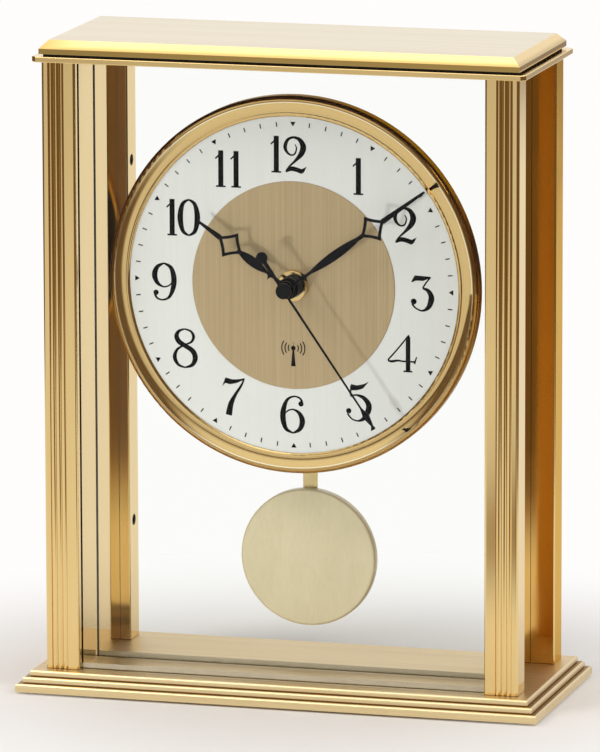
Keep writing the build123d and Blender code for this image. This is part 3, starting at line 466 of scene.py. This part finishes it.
polishedCommon = {
    "colours": brassLook["gold"],
    "edgeTint": (1.0, 1.0, 1.0),
    "wearAndGlint": 0.45,
    "bump": 0.000004,
    "markSize": 0.035,                # metres
    "dust": 0.25,
    "edgeWidth": 0.00035,
    "smudgeRough": 0.05,              # roughness that smudges, dust and an undressed face add
    "dustRough": 0.4,
    "dullerRough": 0.15,
    "shadedDuller": [],
    "rings": [],
    "foot": [],                       # mm up, painted shade where the column meets the plinth
}
polishedLooks = {
    "columnBrass": {"lines": upright, "grain": 0.9, "roughness": 0.06, "shadedDuller": [rearOfColumn],
                    "foot": [(8.0, 8.45)]},
    "rearRightBrass": {"lines": upright, "grain": 0.9, "roughness": 0.06, "edgeTint": (0.80, 0.62, 0.36),
                       "shadedDuller": [rearOfColumn, outerSide], "foot": [(8.0, 8.45)]},
    "panelBrass": {"lines": upright, "grain": 0.5, "roughness": 0.03},
    "ledgeBrass": {"lines": (9.0, 3000.0, 3000.0), "grain": 0.6, "roughness": 0.12, "shadedDuller": [underside]},
    "bezelBrass": {"lines": evenly, "grain": 0.2, "roughness": 0.02, "bump": 0.000001,
                   "colours": ((0.72, 0.50, 0.20), (0.82, 0.60, 0.27)), "edgeTint": (0.62, 0.46, 0.28),
                   "shadedDuller": [rimWall], "rings": [crestRing, shoulderRing]},
    "nutBrass": {"lines": evenly, "grain": 0.5, "roughness": 0.12},
}


def polishedBrass(name, ownLook):
    look = {**polishedCommon, **ownLook}
    material, tree, shader, place, normal = newMaterial(name)
    shader.inputs["Metallic"].default_value = 1.0
    shader.inputs["Specular Tint"].default_value = look["edgeTint"] + (1.0,)
    streaks = placedEffect(tree, "brushedGrain", place, Lines_Per_Metre=look["lines"], Contrast=look["grain"])
    marks = placedEffect(tree, "handlingMarks", place, Mark_Size=look["markSize"], Dust=look["dust"])
    edges = placedEffect(tree, "edgeWearAndGlint", place, Width=look["edgeWidth"], Amount=look["wearAndGlint"])
    body = mixedColours(tree, streaks["Streak"], *look["colours"])
    # Paler edges: handling wear and a painted highlight
    body = mixedColours(tree, edges["Edge"], body, brassLook["wornAndGlint"])
    if look["rings"]:
        body = banded(tree, body, handAxisDistance(tree, place), look["rings"])
    # Painted shade along the column's foot
    if look["foot"]:
        foot = [band + (brassLook["groove"],) for band in look["foot"]]
        body = banded(tree, body, axesOf(tree, place)["Z"], foot)
    dull = remapped(tree, marks["Smudge"], 0.0, 1.0, look["roughness"], look["roughness"] + look["smudgeRough"])
    dull = added(tree, dull, marks["Dust Mask"], look["dustRough"])
    for face in look["shadedDuller"]:
        # Painted shade: these faces get a darker colour for the shade and dark reflections they show, and are rougher
        # than the polished ones
        along = axesOf(tree, normal)[face["axis"]]
        if face["bothWays"]:
            along = mathNode(tree, "ABSOLUTE", along)
        mask = remapped(tree, along, *face["range"], 0.0, 1.0)
        body = mixedColours(tree, mask, body, face["colour"])
        dull = added(tree, dull, mask, look["dullerRough"])
    joined(tree, body, shader.inputs["Base Color"])
    joined(tree, dull, shader.inputs["Roughness"])
    bumped(tree, shader, streaks["Height"], look["bump"])
    return material


plateCommon = {
    "lines": (9.0, 3200.0, 3200.0),
    "contrast": 1.5,
    "markSize": 0.04,
    "dust": 0.3,
    "edgeWidth": 0.0004,
    "smudgeRough": 0.04,
    "dustRough": 0.3,
    "sideGrain": 0.15,                # share of the grain's height on the sides
    "bump": 0.00002,
    "rising": (0.15, 0.5),            # upward part of the normal from which a rounded edge counts as one
    "crown": None,
    "quirks": [],
    "shadedGold": None,
}
plateLooks = {
    "plinthBrass": {
        "top": ((0.56, 0.42, 0.22), (0.76, 0.605, 0.37)),
        "topRoughness": 0.42,
        "side": ((0.80, 0.625, 0.33), (0.90, 0.745, 0.44)),
        "sideRoughness": 0.28,
        "wearAndGlint": 0.1,
        "crown": (0.74, 0.585, 0.33),
        "quirks": [(3.74, 4.06), (5.94, 6.26)],   # mm up, painted shade in the quirks between the steps
    },
    "slabBrass": {
        "top": ((0.74, 0.65, 0.48), (0.88, 0.81, 0.66)),
        "topRoughness": 0.32,
        "side": brassLook["gold"],
        "sideRoughness": 0.08,
        "wearAndGlint": 0.4,
        "shadedGold": (0.50, 0.33, 0.10),
        "leftEnd": (-96.0, -66.0),    # mm, where the painted shade on the bevel's left end fades out
        "lowEdge": (234.7, 236.3),
    },
}


def plateBrass(name, ownLook):
    # Brushed along X on the flat top, polished on the moulded or bevelled sides
    look = {**plateCommon, **ownLook}
    material, tree, shader, place, normal = newMaterial(name)
    shader.inputs["Metallic"].default_value = 1.0
    streaks = placedEffect(tree, "brushedGrain", place, Lines_Per_Metre=look["lines"], Contrast=look["contrast"])
    marks = placedEffect(tree, "handlingMarks", place, Mark_Size=look["markSize"], Dust=look["dust"])
    edges = placedEffect(tree, "edgeWearAndGlint", place, Width=look["edgeWidth"], Amount=look["wearAndGlint"])
    upwards = axesOf(tree, normal)["Z"]
    top = remapped(tree, upwards, *brassLook["facing"], 0.0, 1.0)
    flat = mixedColours(tree, streaks["Streak"], *look["top"])
    side = mixedColours(tree, streaks["Streak"], *look["side"])
    if look["crown"]:
        # Painted shade: the rounded edges of the steps are darker than their upright faces, to dim their highlight
        side = mixedColours(tree, remapped(tree, upwards, *look["rising"], 0.0, 1.0), side, look["crown"])
    if look["shadedGold"]:
        # Painted shade and painted dark reflection: the bevel is a deeper gold towards its left end and its lower edge
        left, right = (end * mm for end in look["leftEnd"])
        low, high = (end * mm for end in look["lowEdge"])
        leftEnd = remapped(tree, axesOf(tree, place)["X"], left, right, 1.0, 0.0, smooth=True)
        lowEdge = remapped(tree, axesOf(tree, place)["Z"], low, high, 1.0, 0.0)
        side = mixedColours(tree, mathNode(tree, "MAXIMUM", leftEnd, lowEdge), side, look["shadedGold"])
    body = mixedColours(tree, top, side, flat)
    # Paler edges: handling wear and a painted highlight
    body = mixedColours(tree, edges["Edge"], body, brassLook["wornAndGlint"])
    # Painted shade in the quirks between the steps
    quirks = [quirk + (brassLook["groove"],) for quirk in look["quirks"]]
    body = banded(tree, body, axesOf(tree, place)["Z"], quirks)
    joined(tree, body, shader.inputs["Base Color"])
    rough = remapped(tree, top, 0.0, 1.0, look["sideRoughness"], look["topRoughness"])
    rough = added(tree, rough, marks["Smudge"], look["smudgeRough"])
    rough = added(tree, rough, marks["Dust Mask"], look["dustRough"])
    joined(tree, rough, shader.inputs["Roughness"])
    share = remapped(tree, top, 0.0, 1.0, look["sideGrain"], 1.0)
    bumped(tree, shader, mathNode(tree, "MULTIPLY", streaks["Height"], share), look["bump"])
    return material


satinCommon = {
    "contrast": 1.2,
    "markSize": 0.02,
    "dust": 0.1,
    "smudgeRough": 0.08,
    "bump": 0.00001,
}
satinLooks = {
    "bobBrass": {"colours": ((0.82, 0.68, 0.445), (0.89, 0.755, 0.52)), "lines": (1200.0, 1200.0, 400.0),
                 "roughness": 0.34, "metallic": 0.3},
    "rodBrass": {"colours": ((0.86, 0.64, 0.27), (0.95, 0.74, 0.37)), "lines": (3000.0, 3000.0, 12.0),
                 "roughness": 0.3, "metallic": 0.45},
}


def satinBrass(name, ownLook):
    look = {**satinCommon, **ownLook}
    material, tree, shader, place, _ = newMaterial(name)
    shader.inputs["Metallic"].default_value = look["metallic"]
    streaks = placedEffect(tree, "brushedGrain", place, Lines_Per_Metre=look["lines"], Contrast=look["contrast"])
    marks = placedEffect(tree, "handlingMarks", place, Mark_Size=look["markSize"], Dust=look["dust"])
    joined(tree, mixedColours(tree, streaks["Streak"], *look["colours"]), shader.inputs["Base Color"])
    roughest = look["roughness"] + look["smudgeRough"]
    joined(tree, remapped(tree, marks["Smudge"], 0.0, 1.0, look["roughness"], roughest), shader.inputs["Roughness"])
    bumped(tree, shader, streaks["Height"], look["bump"])
    return material


# Dial, glass and plain finishes

dialLooks = {
    "dialSilver": {"colours": ((0.70, 0.70, 0.68), (0.78, 0.78, 0.755)), "lines": (2600.0, 2600.0, 14.0),
                   "contrast": 0.5, "roughness": (0.56, 0.44), "metallic": 0.15, "bump": 0.00001},
    "discGold": {"colours": ((0.41, 0.30, 0.158), (0.56, 0.425, 0.25)), "lines": (4200.0, 4200.0, 16.0),
                 "contrast": 1.0, "roughness": (0.48, 0.36), "metallic": 0.35, "bump": 0.00001},
}


def brushedDial(name, look):
    material, tree, shader, place, _ = newMaterial(name)
    shader.inputs["Metallic"].default_value = look["metallic"]
    streaks = placedEffect(tree, "brushedGrain", place, Lines_Per_Metre=look["lines"], Contrast=look["contrast"])
    streak = streaks["Streak"]
    joined(tree, mixedColours(tree, streak, *look["colours"]), shader.inputs["Base Color"])
    joined(tree, remapped(tree, streak, 0.0, 1.0, *look["roughness"]), shader.inputs["Roughness"])
    bumped(tree, shader, streaks["Height"], look["bump"])
    return material


glassLooks = {
    "clearGlass": {
        "tint": (0.985, 0.995, 0.99),
        "ior": 1.5,
        "reflection": (0.12, 0.12, 0.12),
        "shadow": (0.95, 0.965, 0.955),   # light that passes through it
        "markSize": 0.05,
        "dust": 0.2,
        "smudgeRough": 0.012,
        "darkEdge": ((0.020, 0.013, 0.007), (0.060, 0.039, 0.021)),
        "darkEdgeRoughness": 0.6,
        "darkEdgeGrain": 160.0,
        "edge": (0.3, 0.7),           # part of the normal along Y: an edge of the pane, its face
    },
}


def clearGlass(name, look):
    material, tree, shader, place, normal = newMaterial(name)
    shader.inputs["Base Color"].default_value = look["tint"] + (1.0,)
    shader.inputs["Transmission Weight"].default_value = 1.0
    shader.inputs["IOR"].default_value = look["ior"]
    shader.inputs["Specular Tint"].default_value = look["reflection"] + (1.0,)
    marks = placedEffect(tree, "handlingMarks", place, Mark_Size=look["markSize"], Dust=look["dust"])
    rough = mathNode(tree, "MULTIPLY", marks["Smudge"], look["smudgeRough"])
    joined(tree, rough, shader.inputs["Roughness"])
    clear = tree.nodes.new("ShaderNodeBsdfTransparent")
    clear.inputs["Color"].default_value = look["shadow"] + (1.0,)
    path = tree.nodes.new("ShaderNodeLightPath")
    lighting = mathNode(tree, "MAXIMUM", path.outputs["Is Shadow Ray"], path.outputs["Is Diffuse Ray"])
    pane = mixedShaders(tree, lighting, shader.outputs[0], clear.outputs[0])
    # The narrow edges of the pane are dark
    darkEdge = tree.nodes.new("ShaderNodeBsdfPrincipled")
    darkEdge.inputs["Roughness"].default_value = look["darkEdgeRoughness"]
    wavy = noiseOf(tree, place, look["darkEdgeGrain"])
    joined(tree, mixedColours(tree, wavy, *look["darkEdge"]), darkEdge.inputs["Base Color"])
    forward = mathNode(tree, "ABSOLUTE", axesOf(tree, normal)["Y"])
    surface = mixedShaders(tree, remapped(tree, forward, *look["edge"], 1.0, 0.0), pane, darkEdge.outputs[0])
    joined(tree, surface, tree.nodes["Material Output"].inputs["Surface"])
    return material


plainCommon = {
    "metallic": 0.0,
    "coat": 0.0,
    "specular": 0.5,
    "alpha": 1.0,
    "grainScale": 2500.0,
    "grainDepth": 0.00001,
    "markSize": 0.012,
    "dust": 0.5,
    "edgeWidth": 0.00025,
    "smudgeShare": 0.4,               # of the uneven tone; the grain makes the rest
    "smudgeRough": 0.1,
    "edge": 0.25,                     # amount of edge wear and painted edge highlight, its strength and how much paler it is
    "edgeShare": 0.5,
    "edgePaler": 0.35,
}
plainLooks = {
    "handBlack": {"colours": ((0.003, 0.003, 0.004), (0.008, 0.008, 0.009)), "roughness": 0.32, "edge": 0.05,
                  "specular": 0.10},
    "printBlack": {"colours": ((0.004, 0.004, 0.004), (0.008, 0.008, 0.008)), "roughness": 0.5, "edge": 0.0,
                   "specular": 0.05},
    "paneStrip": {"colours": ((0.44, 0.385, 0.28), (0.58, 0.52, 0.40)), "roughness": 0.4, "edge": 0.0, "alpha": 0.62},
    "zincPlate": {"colours": ((0.48, 0.48, 0.50), (0.62, 0.62, 0.64)), "roughness": 0.3, "metallic": 1.0},
    "darkSteel": {"colours": ((0.004, 0.0035, 0.003), (0.010, 0.008, 0.007)), "roughness": 0.5, "edge": 0.05,
                  "specular": 0.05},
    "casePlastic": {"colours": ((0.018, 0.018, 0.020), (0.034, 0.034, 0.037)), "roughness": 0.48,
                    "grainScale": 5200.0, "grainDepth": 0.00004},
    "wheelPlastic": {"colours": ((0.72, 0.70, 0.64), (0.80, 0.78, 0.73)), "roughness": 0.35, "edge": 0.1},
    "solderMask": {"colours": ((0.015, 0.09, 0.04), (0.02, 0.13, 0.06)), "roughness": 0.35, "coat": 0.3},
    "copperWire": {"colours": ((0.42, 0.16, 0.07), (0.58, 0.25, 0.12)), "roughness": 0.3, "metallic": 1.0},
    "ferriteBody": {"colours": ((0.035, 0.035, 0.037), (0.06, 0.06, 0.062)), "roughness": 0.6},
    "batteryJacket": {"colours": ((0.10, 0.12, 0.16), (0.14, 0.16, 0.21)), "roughness": 0.25, "coat": 0.5,
                      "grainDepth": 0.000003},
    "blackRubber": {"colours": ((0.010, 0.010, 0.010), (0.022, 0.022, 0.022)), "roughness": 0.75},
    "blackFelt": {"colours": ((0.008, 0.008, 0.008), (0.030, 0.029, 0.028)), "roughness": 0.95,
                  "grainScale": 4500.0, "grainDepth": 0.0002},
    "buttonPlastic": {"colours": ((0.52, 0.52, 0.50), (0.60, 0.60, 0.58)), "roughness": 0.4},
}


def plainFinish(name, ownLook):
    # Moulded, painted or plated surfaces: fine grain, uneven tone, slightly paler edges from wear and a painted
    # highlight
    look = {**plainCommon, **ownLook}
    material, tree, shader, place, _ = newMaterial(name)
    shader.inputs["Metallic"].default_value = look["metallic"]
    shader.inputs["Coat Weight"].default_value = look["coat"]
    shader.inputs["Specular IOR Level"].default_value = look["specular"]
    shader.inputs["Alpha"].default_value = look["alpha"]
    marks = placedEffect(tree, "handlingMarks", place, Mark_Size=look["markSize"], Dust=look["dust"])
    edges = placedEffect(tree, "edgeWearAndGlint", place, Width=look["edgeWidth"], Amount=look["edge"])
    grain = noiseOf(tree, place, look["grainScale"], detail=3.0, roughness=0.6)
    smudged = mathNode(tree, "MULTIPLY", marks["Smudge"], look["smudgeShare"])
    grained = mathNode(tree, "MULTIPLY", grain, 1.0 - look["smudgeShare"])
    body = mixedColours(tree, mathNode(tree, "ADD", smudged, grained, clamp=True), *look["colours"])
    paler = tuple(part + look["edgePaler"] * (1.0 - part) for part in look["colours"][1])
    # Paler edges: wear and a painted highlight
    wornAndGlint = mathNode(tree, "MULTIPLY", edges["Edge"], look["edgeShare"])
    joined(tree, mixedColours(tree, wornAndGlint, body, paler), shader.inputs["Base Color"])
    roughest = min(look["roughness"] + look["smudgeRough"], 1.0)
    joined(tree, remapped(tree, marks["Smudge"], 0.0, 1.0, look["roughness"], roughest), shader.inputs["Roughness"])
    bumped(tree, shader, grain, look["grainDepth"])
    return material


materials = {}
for maker, looks in ((polishedBrass, polishedLooks), (plateBrass, plateLooks), (satinBrass, satinLooks),
                     (brushedDial, dialLooks), (clearGlass, glassLooks), (plainFinish, plainLooks)):
    materials.update({name: maker(name, look) for name, look in looks.items()})

finishes = {
    "columnBrass": ["front_left_column", "front_right_column", "rear_left_column"],
    "rearRightBrass": ["rear_right_column"],
    "panelBrass": ["left_side_panel", "right_side_panel"],
    "ledgeBrass": ["top_ledge"],
    "bezelBrass": ["bezel"],
    "nutBrass": ["fixing_nut"],
    "plinthBrass": ["base_plinth"],
    "slabBrass": ["top_slab"],
    "bobBrass": ["bob_shell", "bob_back_plate", "bob_rivets"],
    "rodBrass": ["pendulum_rod"],
    "dialSilver": ["dial_plate"],
    "discGold": ["dial_centre_disc"],
    "clearGlass": ["front_glass", "middle_glass"],
    "handBlack": ["hour_hand", "minute_hand", "second_hand"],
    "zincPlate": ["base_screws", "ledge_screws", "pendulum_pin", "stators", "battery_plus_contact",
                  "battery_minus_contact", "quartz_crystal", "pendulum_magnet"],
    "darkSteel": ["column_set_screws"],
    "casePlastic": ["movement_front_case", "movement_rear_case", "dial_pan", "gear_plate", "control_chip",
                    "button_switches", "pendulum_hanger"],
    "wheelPlastic": ["hour_wheel", "minute_wheel", "second_wheel", "motion_wheel", "minute_idler", "second_idler",
                     "minute_rotor", "second_rotor"],
    "solderMask": ["circuit_board"],
    "copperWire": ["motor_coils", "drive_coil", "aerial_winding"],
    "ferriteBody": ["aerial_rod"],
    "batteryJacket": ["battery"],
    "blackRubber": ["rubber_washer", "top_pad"],
    "blackFelt": ["base_felt"],
    "buttonPlastic": ["reset_button", "receive_button", "set_button"],
}
for finish, names in finishes.items():
    for name in names:
        for slot in nodes[name].material_slots:
            slot.material = materials[finish]
print("finishes on", sum(len(names) for names in finishes.values()), "pieces")


# Printing on the dial: thin closed solids of ink

dialPrint = {
    "dialFront": -12.6,       # mm, the silver plate's face
    "discFront": -12.9,       # mm, the gold disc's face
    "ink": 0.03,              # mm thick
    "sunk": 0.005,            # mm into the plate
    "tickInner": 57.5,
    "tickOuter": 59.2,
    "tickWidth": 0.42,
    "hourMarkWidth": 2.0,
    "bolder": 0.2,            # mm added to every stroke and ball
    "ballSides": 28,
}


def turnedLeft(outline):
    area = sum(a[0] * b[1] - b[0] * a[1] for a, b in zip(outline, outline[1:] + outline[:1]))
    return outline if area > 0 else outline[::-1]


def curveThrough(points, steps):
    # Catmull-Rom curve through (x, z, width) points
    if len(points) == 2:
        return list(points)
    padded = [points[0]] + list(points) + [points[-1]]
    line = []
    for before, start, end, after in zip(padded, padded[1:], padded[2:], padded[3:]):
        for step in range(steps):
            t = step / steps
            line.append(tuple(0.5 * (2 * b + (c - a) * t + (2 * a - 5 * b + 4 * c - d) * t * t
                                     + (3 * b - a - 3 * c + d) * t ** 3)
                              for a, b, c, d in zip(before, start, end, after)))
    line.append(tuple(points[-1]))
    return line


def strokePatches(points, steps=7):
    # A pen stroke whose width changes along its way, as a row of four-sided patches
    line = curveThrough(points, steps)
    sides = []
    for i, (x, z, width) in enumerate(line):
        ahead = line[min(i + 1, len(line) - 1)]
        behind = line[max(i - 1, 0)]
        dx, dz = ahead[0] - behind[0], ahead[1] - behind[1]
        reach = 0.5 * (width + dialPrint["bolder"]) / math.hypot(dx, dz)
        sides.append(((x - dz * reach, z + dx * reach), (x + dz * reach, z - dx * reach)))
    return [[a[0], b[0], b[1], a[1]] for a, b in zip(sides, sides[1:])]


def ballPatch(x, z, diameter):
    radius = 0.5 * (diameter + dialPrint["bolder"])
    return [(x + across, z + up) for across, up in circle(radius, dialPrint["ballSides"])]


def newPiece(name, built, finish):
    mesh = bpy.data.meshes.new(name)
    built.to_mesh(mesh)
    built.free()
    mesh.materials.append(materials[finish])
    piece = bpy.data.objects.new(name, mesh)
    bpy.context.scene.collection.objects.link(piece)
    return piece


def inkSolid(name, patches, front):
    # Overlapping patches become one outline, which is given the ink's thickness
    corners, faces = [], []
    for patch in patches:
        faces.append(list(range(len(corners), len(corners) + len(patch))))
        corners += [Vector(point) for point in turnedLeft(patch)]
    # Triangles; corners closer together than the last number, in mm, become one
    points, _, areas, _, _, origins = delaunay_2d_cdt(corners, [], faces, 0, 1e-5)
    kept = [area for area, origin in zip(areas, origins) if origin]
    built = bmesh.new()
    near, far = ([built.verts.new((x * mm, y * mm, (z + handAxis) * mm)) for x, z in points]
                 for y in (front - dialPrint["ink"], front + dialPrint["sunk"]))
    borders = {}
    for area in kept:
        built.faces.new([near[i] for i in area])
        built.faces.new([far[i] for i in reversed(area)])
        for a, b in zip(area, area[1:] + area[:1]):
            # An edge that comes a second time, the other way round, lies inside
            if (b, a) in borders:
                del borders[(b, a)]
            else:
                borders[(a, b)] = True
    for a, b in borders:
        built.faces.new([near[b], near[a], far[a], far[b]])
    loose = [corner for corner in built.verts if not corner.link_faces]
    bmesh.ops.delete(built, geom=loose, context="VERTS")
    piece = newPiece(name, built, "printBlack")
    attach(piece, "case")


# Each figure is pen strokes (x, z, width), balls (x, z, diameter) and straight-sided patches, in mm about its middle
figureShapes = {
    "0": {"strokes": [[(0.0, 6.65, 0.45), (-2.3, 4.9, 1.25), (-3.2, 0.1, 1.9), (-2.3, -4.7, 1.25), (0.0, -6.45, 0.45)],
                      [(0.0, 6.65, 0.45), (2.3, 4.9, 1.25), (3.2, 0.1, 1.9), (2.3, -4.7, 1.25), (0.0, -6.45, 0.45)]]},
    "1": {"strokes": [[(0.2, 6.6, 1.7), (0.2, -6.5, 1.7)], [(-1.6, -6.4, 0.4), (2.0, -6.4, 0.4)]],
          "patches": [[(1.0, 6.6), (-2.0, 3.8), (-1.7, 3.3), (-0.5, 4.4)]]},
    "2": {"strokes": [[(0.0, 3.8, 0.13), (0.6, 2.4, 0.31), (0.0, 0.4, 0.40), (-1.5, -0.1, 0.44), (-3.0, 1.0, 0.79),
                       (-3.6, 3.0, 1.19), (-2.6, 5.4, 0.88), (-0.4, 6.3, 0.66), (1.9, 5.4, 1.32), (3.1, 3.0, 1.98),
                       (2.4, 0.5, 1.76), (0.2, -2.1, 0.79), (-1.9, -4.1, 0.44), (-3.3, -5.9, 0.35)],
                      [(-3.4, -6.3, 0.26), (-1.5, -5.1, 1.41), (0.5, -5.3, 1.45), (2.6, -6.0, 1.50)]],
          "patches": [[(1.9, -5.4), (4.4, -4.1), (3.4, -6.1), (2.6, -6.8)]]},
    "3": {"strokes": [[(3.2, 5.9, 0.35), (1.5, 3.8, 0.35), (0.3, 1.8, 0.40)],
                      [(0.3, 1.8, 0.40), (2.2, 1.1, 1.15), (3.4, -0.8, 1.76), (3.4, -2.6, 1.98), (2.4, -5.0, 1.41),
                       (0.2, -6.3, 0.48), (-2.2, -5.5, 0.40), (-3.6, -4.0, 0.53)]],
          "balls": [(-3.0, -3.1, 1.94)],
          "patches": [[(-4.0, 4.0), (-2.6, 6.4), (3.3, 6.1), (3.1, 5.6), (0.5, 4.5), (-2.2, 4.5), (-3.4, 3.9)]]},
    "4": {"strokes": [[(2.3, 6.7, 0.35), (-1.5, 1.9, 0.35), (-5.4, -2.6, 0.40)],
                      [(-5.5, -2.8, 0.35), (-4.0, -3.1, 0.70), (-1.8, -2.7, 0.53), (0.4, -2.9, 0.40),
                       (4.5, -2.9, 0.44)],
                      [(4.4, -3.7, 0.35), (4.8, -2.3, 0.35), (5.2, -1.1, 0.22)],
                      [(2.0, 6.0, 1.5), (2.0, -6.5, 1.5)], [(0.3, -6.5, 0.4), (3.6, -6.5, 0.4)]],
          "patches": [[(1.2, 5.4), (2.4, 6.9), (2.7, 5.4)]]},
    "5": {"strokes": [[(-2.6, 5.4, 0.35), (-2.7, 1.5, 0.35)],
                      [(-2.7, 1.5, 0.35), (-0.7, 2.1, 0.44), (2.1, 1.2, 1.23), (4.0, -1.2, 1.85), (3.7, -3.9, 1.85),
                       (2.2, -6.3, 1.32), (0.2, -7.3, 0.48), (-2.2, -6.7, 0.35), (-3.9, -4.8, 0.44)]],
          "balls": [(-3.4, -3.8, 1.76)],
          "patches": [[(-2.6, 6.0), (-0.4, 5.6), (2.2, 6.2), (3.9, 7.1), (3.9, 6.9), (1.8, 4.5), (-0.4, 3.8),
                       (-2.6, 3.7)]]},
    "6": {"strokes": [[(3.2, 4.7, 0.62), (2.2, 6.2, 0.53), (0.0, 6.7, 0.44), (-2.4, 5.4, 0.88), (-3.8, 1.9, 1.67),
                       (-4.0, -1.7, 1.85), (-2.9, -5.2, 1.23), (-0.3, -6.7, 0.40)],
                      [(-3.2, 0.4, 0.26), (-2.0, 1.5, 0.35), (0.0, 1.9, 0.44), (2.2, 0.5, 1.23), (3.2, -2.3, 1.85),
                       (2.2, -5.2, 1.32), (-0.3, -6.7, 0.40)]],
          "balls": [(2.7, 4.1, 1.76)]},
    "7": {"strokes": [[(4.0, 6.6, 0.35), (2.9, 4.1, 0.62), (0.7, 0.7, 0.97), (-1.0, -2.8, 1.76), (-1.8, -6.9, 2.2)]],
          "patches": [[(-4.3, 3.5), (-3.0, 6.8), (-0.4, 6.2), (2.2, 6.4), (4.2, 6.9), (4.1, 6.3), (1.1, 4.9),
                       (-1.3, 4.4), (-3.1, 4.8)]]},
    "8": {"strokes": [[(-0.3, 6.9, 0.40), (-2.4, 6.0, 0.88), (-3.3, 4.2, 1.50), (-2.4, 2.2, 1.67), (0.0, 0.7, 1.50),
                       (2.7, -1.0, 1.67), (3.7, -3.5, 1.76), (2.6, -6.1, 1.15), (-0.1, -7.2, 0.40)],
                      [(-0.1, -7.2, 0.40), (-2.6, -6.3, 0.79), (-4.0, -3.7, 1.32), (-3.1, -0.8, 0.79),
                       (-0.2, 1.1, 0.44), (2.2, 2.2, 0.62), (3.1, 4.2, 0.93), (2.1, 6.1, 0.62), (-0.3, 6.9, 0.40)]]},
}
# Where each hour's number stands about the hand axis, and how far its figures stand from its middle, in mm
hourNumbers = {
    12: ((0.3, 47.3), [("1", -6.7), ("2", 0.4)]), 1: ((24.0, 40.5), [("1", 0.0)]), 2: ((41.3, 23.5), [("2", 0.0)]),
    3: ((47.6, -0.7), [("3", 0.0)]), 4: ((40.5, -22.8), [("4", 0.0)]), 5: ((23.9, -40.9), [("5", 0.0)]),
    6: ((0.0, -47.2), [("6", 0.0)]), 7: ((-22.5, -41.6), [("7", 0.0)]), 8: ((-40.5, -24.7), [("8", 0.0)]),
    9: ((-48.7, -0.8), [("9", 0.0)]), 10: ((-40.8, 22.8), [("1", -4.6), ("0", 1.85)]),
    11: ((-24.5, 41.2), [("1", -2.6), ("1", 3.1)]),
}


def figurePatches(figure, x, z):
    turned = figure == "9"           # a nine is a six turned upside down
    shape = figureShapes["6" if turned else figure]
    patches = [patch for stroke in shape.get("strokes", []) for patch in strokePatches(stroke)]
    patches += [ballPatch(*ball) for ball in shape.get("balls", [])]
    patches += shape.get("patches", [])
    sign = -1 if turned else 1
    return [[(x + sign * px, z + sign * pz) for px, pz in patch] for patch in patches]


def makeDialPrint(look):
    for hour, ((x, z), figures) in hourNumbers.items():
        patches = [patch for figure, shift in figures for patch in figurePatches(figure, x + shift, z)]
        inkSolid(f"figure_{hour}", patches, look["dialFront"])
    ticks, hourMarks = [], []
    for minute in range(60):
        angle = math.radians(6 * minute)    # from the top, clockwise
        out = Vector((math.sin(angle), math.cos(angle)))
        across = Vector((out[1], -out[0]))
        inner, outer = out * look["tickInner"], out * look["tickOuter"]
        if minute % 5 == 0:
            side = 0.5 * look["hourMarkWidth"] * across
            hourMarks.append([tuple(corner) for corner in (outer + side, outer - side, inner)])
        else:
            side = 0.5 * look["tickWidth"] * across
            ticks.append([tuple(corner) for corner in (inner - side, inner + side, outer + side, outer - side)])
    inkSolid("minute_ticks", ticks, look["dialFront"])
    inkSolid("hour_marks", hourMarks, look["dialFront"])


receptionSign = {
    "middle": (0.0, -24.0),       # mm from the hand axis
    "ball": 1.5,
    "ballUp": 1.2,                # mm above the middle
    "tip": (3.6, 0.12, 0.05),     # mm up, half its width at the ball and at its end
    "mast": (-5.4, 0.25, 0.85),
    "arcs": (1.9, 3.1, 4.3),
    "arcSpread": 36,              # degrees up and down
    "arcStep": 12,
    "line": 0.22,
}


def makeReceptionSign(sign):
    # A plain mast with waves on both sides, for the radio reception
    x, z = sign["middle"]
    top = z + sign["ballUp"]
    patches = [ballPatch(x, top, sign["ball"])]
    for up, halfTop, halfEnd in (sign["tip"], sign["mast"]):
        patches.append([(x - halfTop, top), (x + halfTop, top), (x + halfEnd, z + up), (x - halfEnd, z + up)])
    for radius in sign["arcs"]:
        for side in (0, 180):
            turns = range(side - sign["arcSpread"], side + sign["arcSpread"] + 1, sign["arcStep"])
            arc = [(x + radius * math.cos(math.radians(turn)), top + radius * math.sin(math.radians(turn)),
                    sign["line"]) for turn in turns]
            patches += strokePatches(arc, steps=3)
    inkSolid("reception_sign", patches, dialPrint["discFront"])


makeDialPrint(dialPrint)
makeReceptionSign(receptionSign)
print("dial printed")

# Clear seal strips along the foot of each pane, in front of the glass

footStrip = {
    "half": 75.3,                 # mm, half the length
    "bottom": 8.55,
    "top": 10.4,
    "proud": 0.06,
    "rounding": 0.2,              # mm, height of the rounding at the top and the bottom
    "bulge": 1.2,                 # times proud, half way up
    "fronts": (-29.7, -8.0),      # mm, the panes' faces
    "steps": 60,
}


def makeFootStrip(name, look, front):
    # A low strip whose front bulges a little, closed all round
    count = look["steps"]
    middle = 0.5 * (look["bottom"] + look["top"])
    section = [(0.0, look["bottom"]), (look["proud"], look["bottom"] + look["rounding"]),
               (look["bulge"] * look["proud"], middle), (look["proud"], look["top"] - look["rounding"]),
               (0.0, look["top"])]
    built = bmesh.new()
    rings = []
    for step in range(count + 1):
        x = look["half"] * (2.0 * step / count - 1.0)
        rings.append([built.verts.new((x * mm, (front - out) * mm, z * mm)) for out, z in section])
    for a, b in zip(rings, rings[1:]):
        for i in range(len(section)):
            after = (i + 1) % len(section)
            built.faces.new([a[i], b[i], b[after], a[after]])
    built.faces.new(rings[0])
    built.faces.new(rings[-1][::-1])
    bmesh.ops.recalc_face_normals(built, faces=built.faces)
    piece = newPiece(name, built, "paneStrip")
    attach(piece, "case")


for place, front in zip(("front", "middle"), footStrip["fronts"]):
    makeFootStrip(f"{place}_pane_strip", footStrip, front)
print("strips along the panes made")
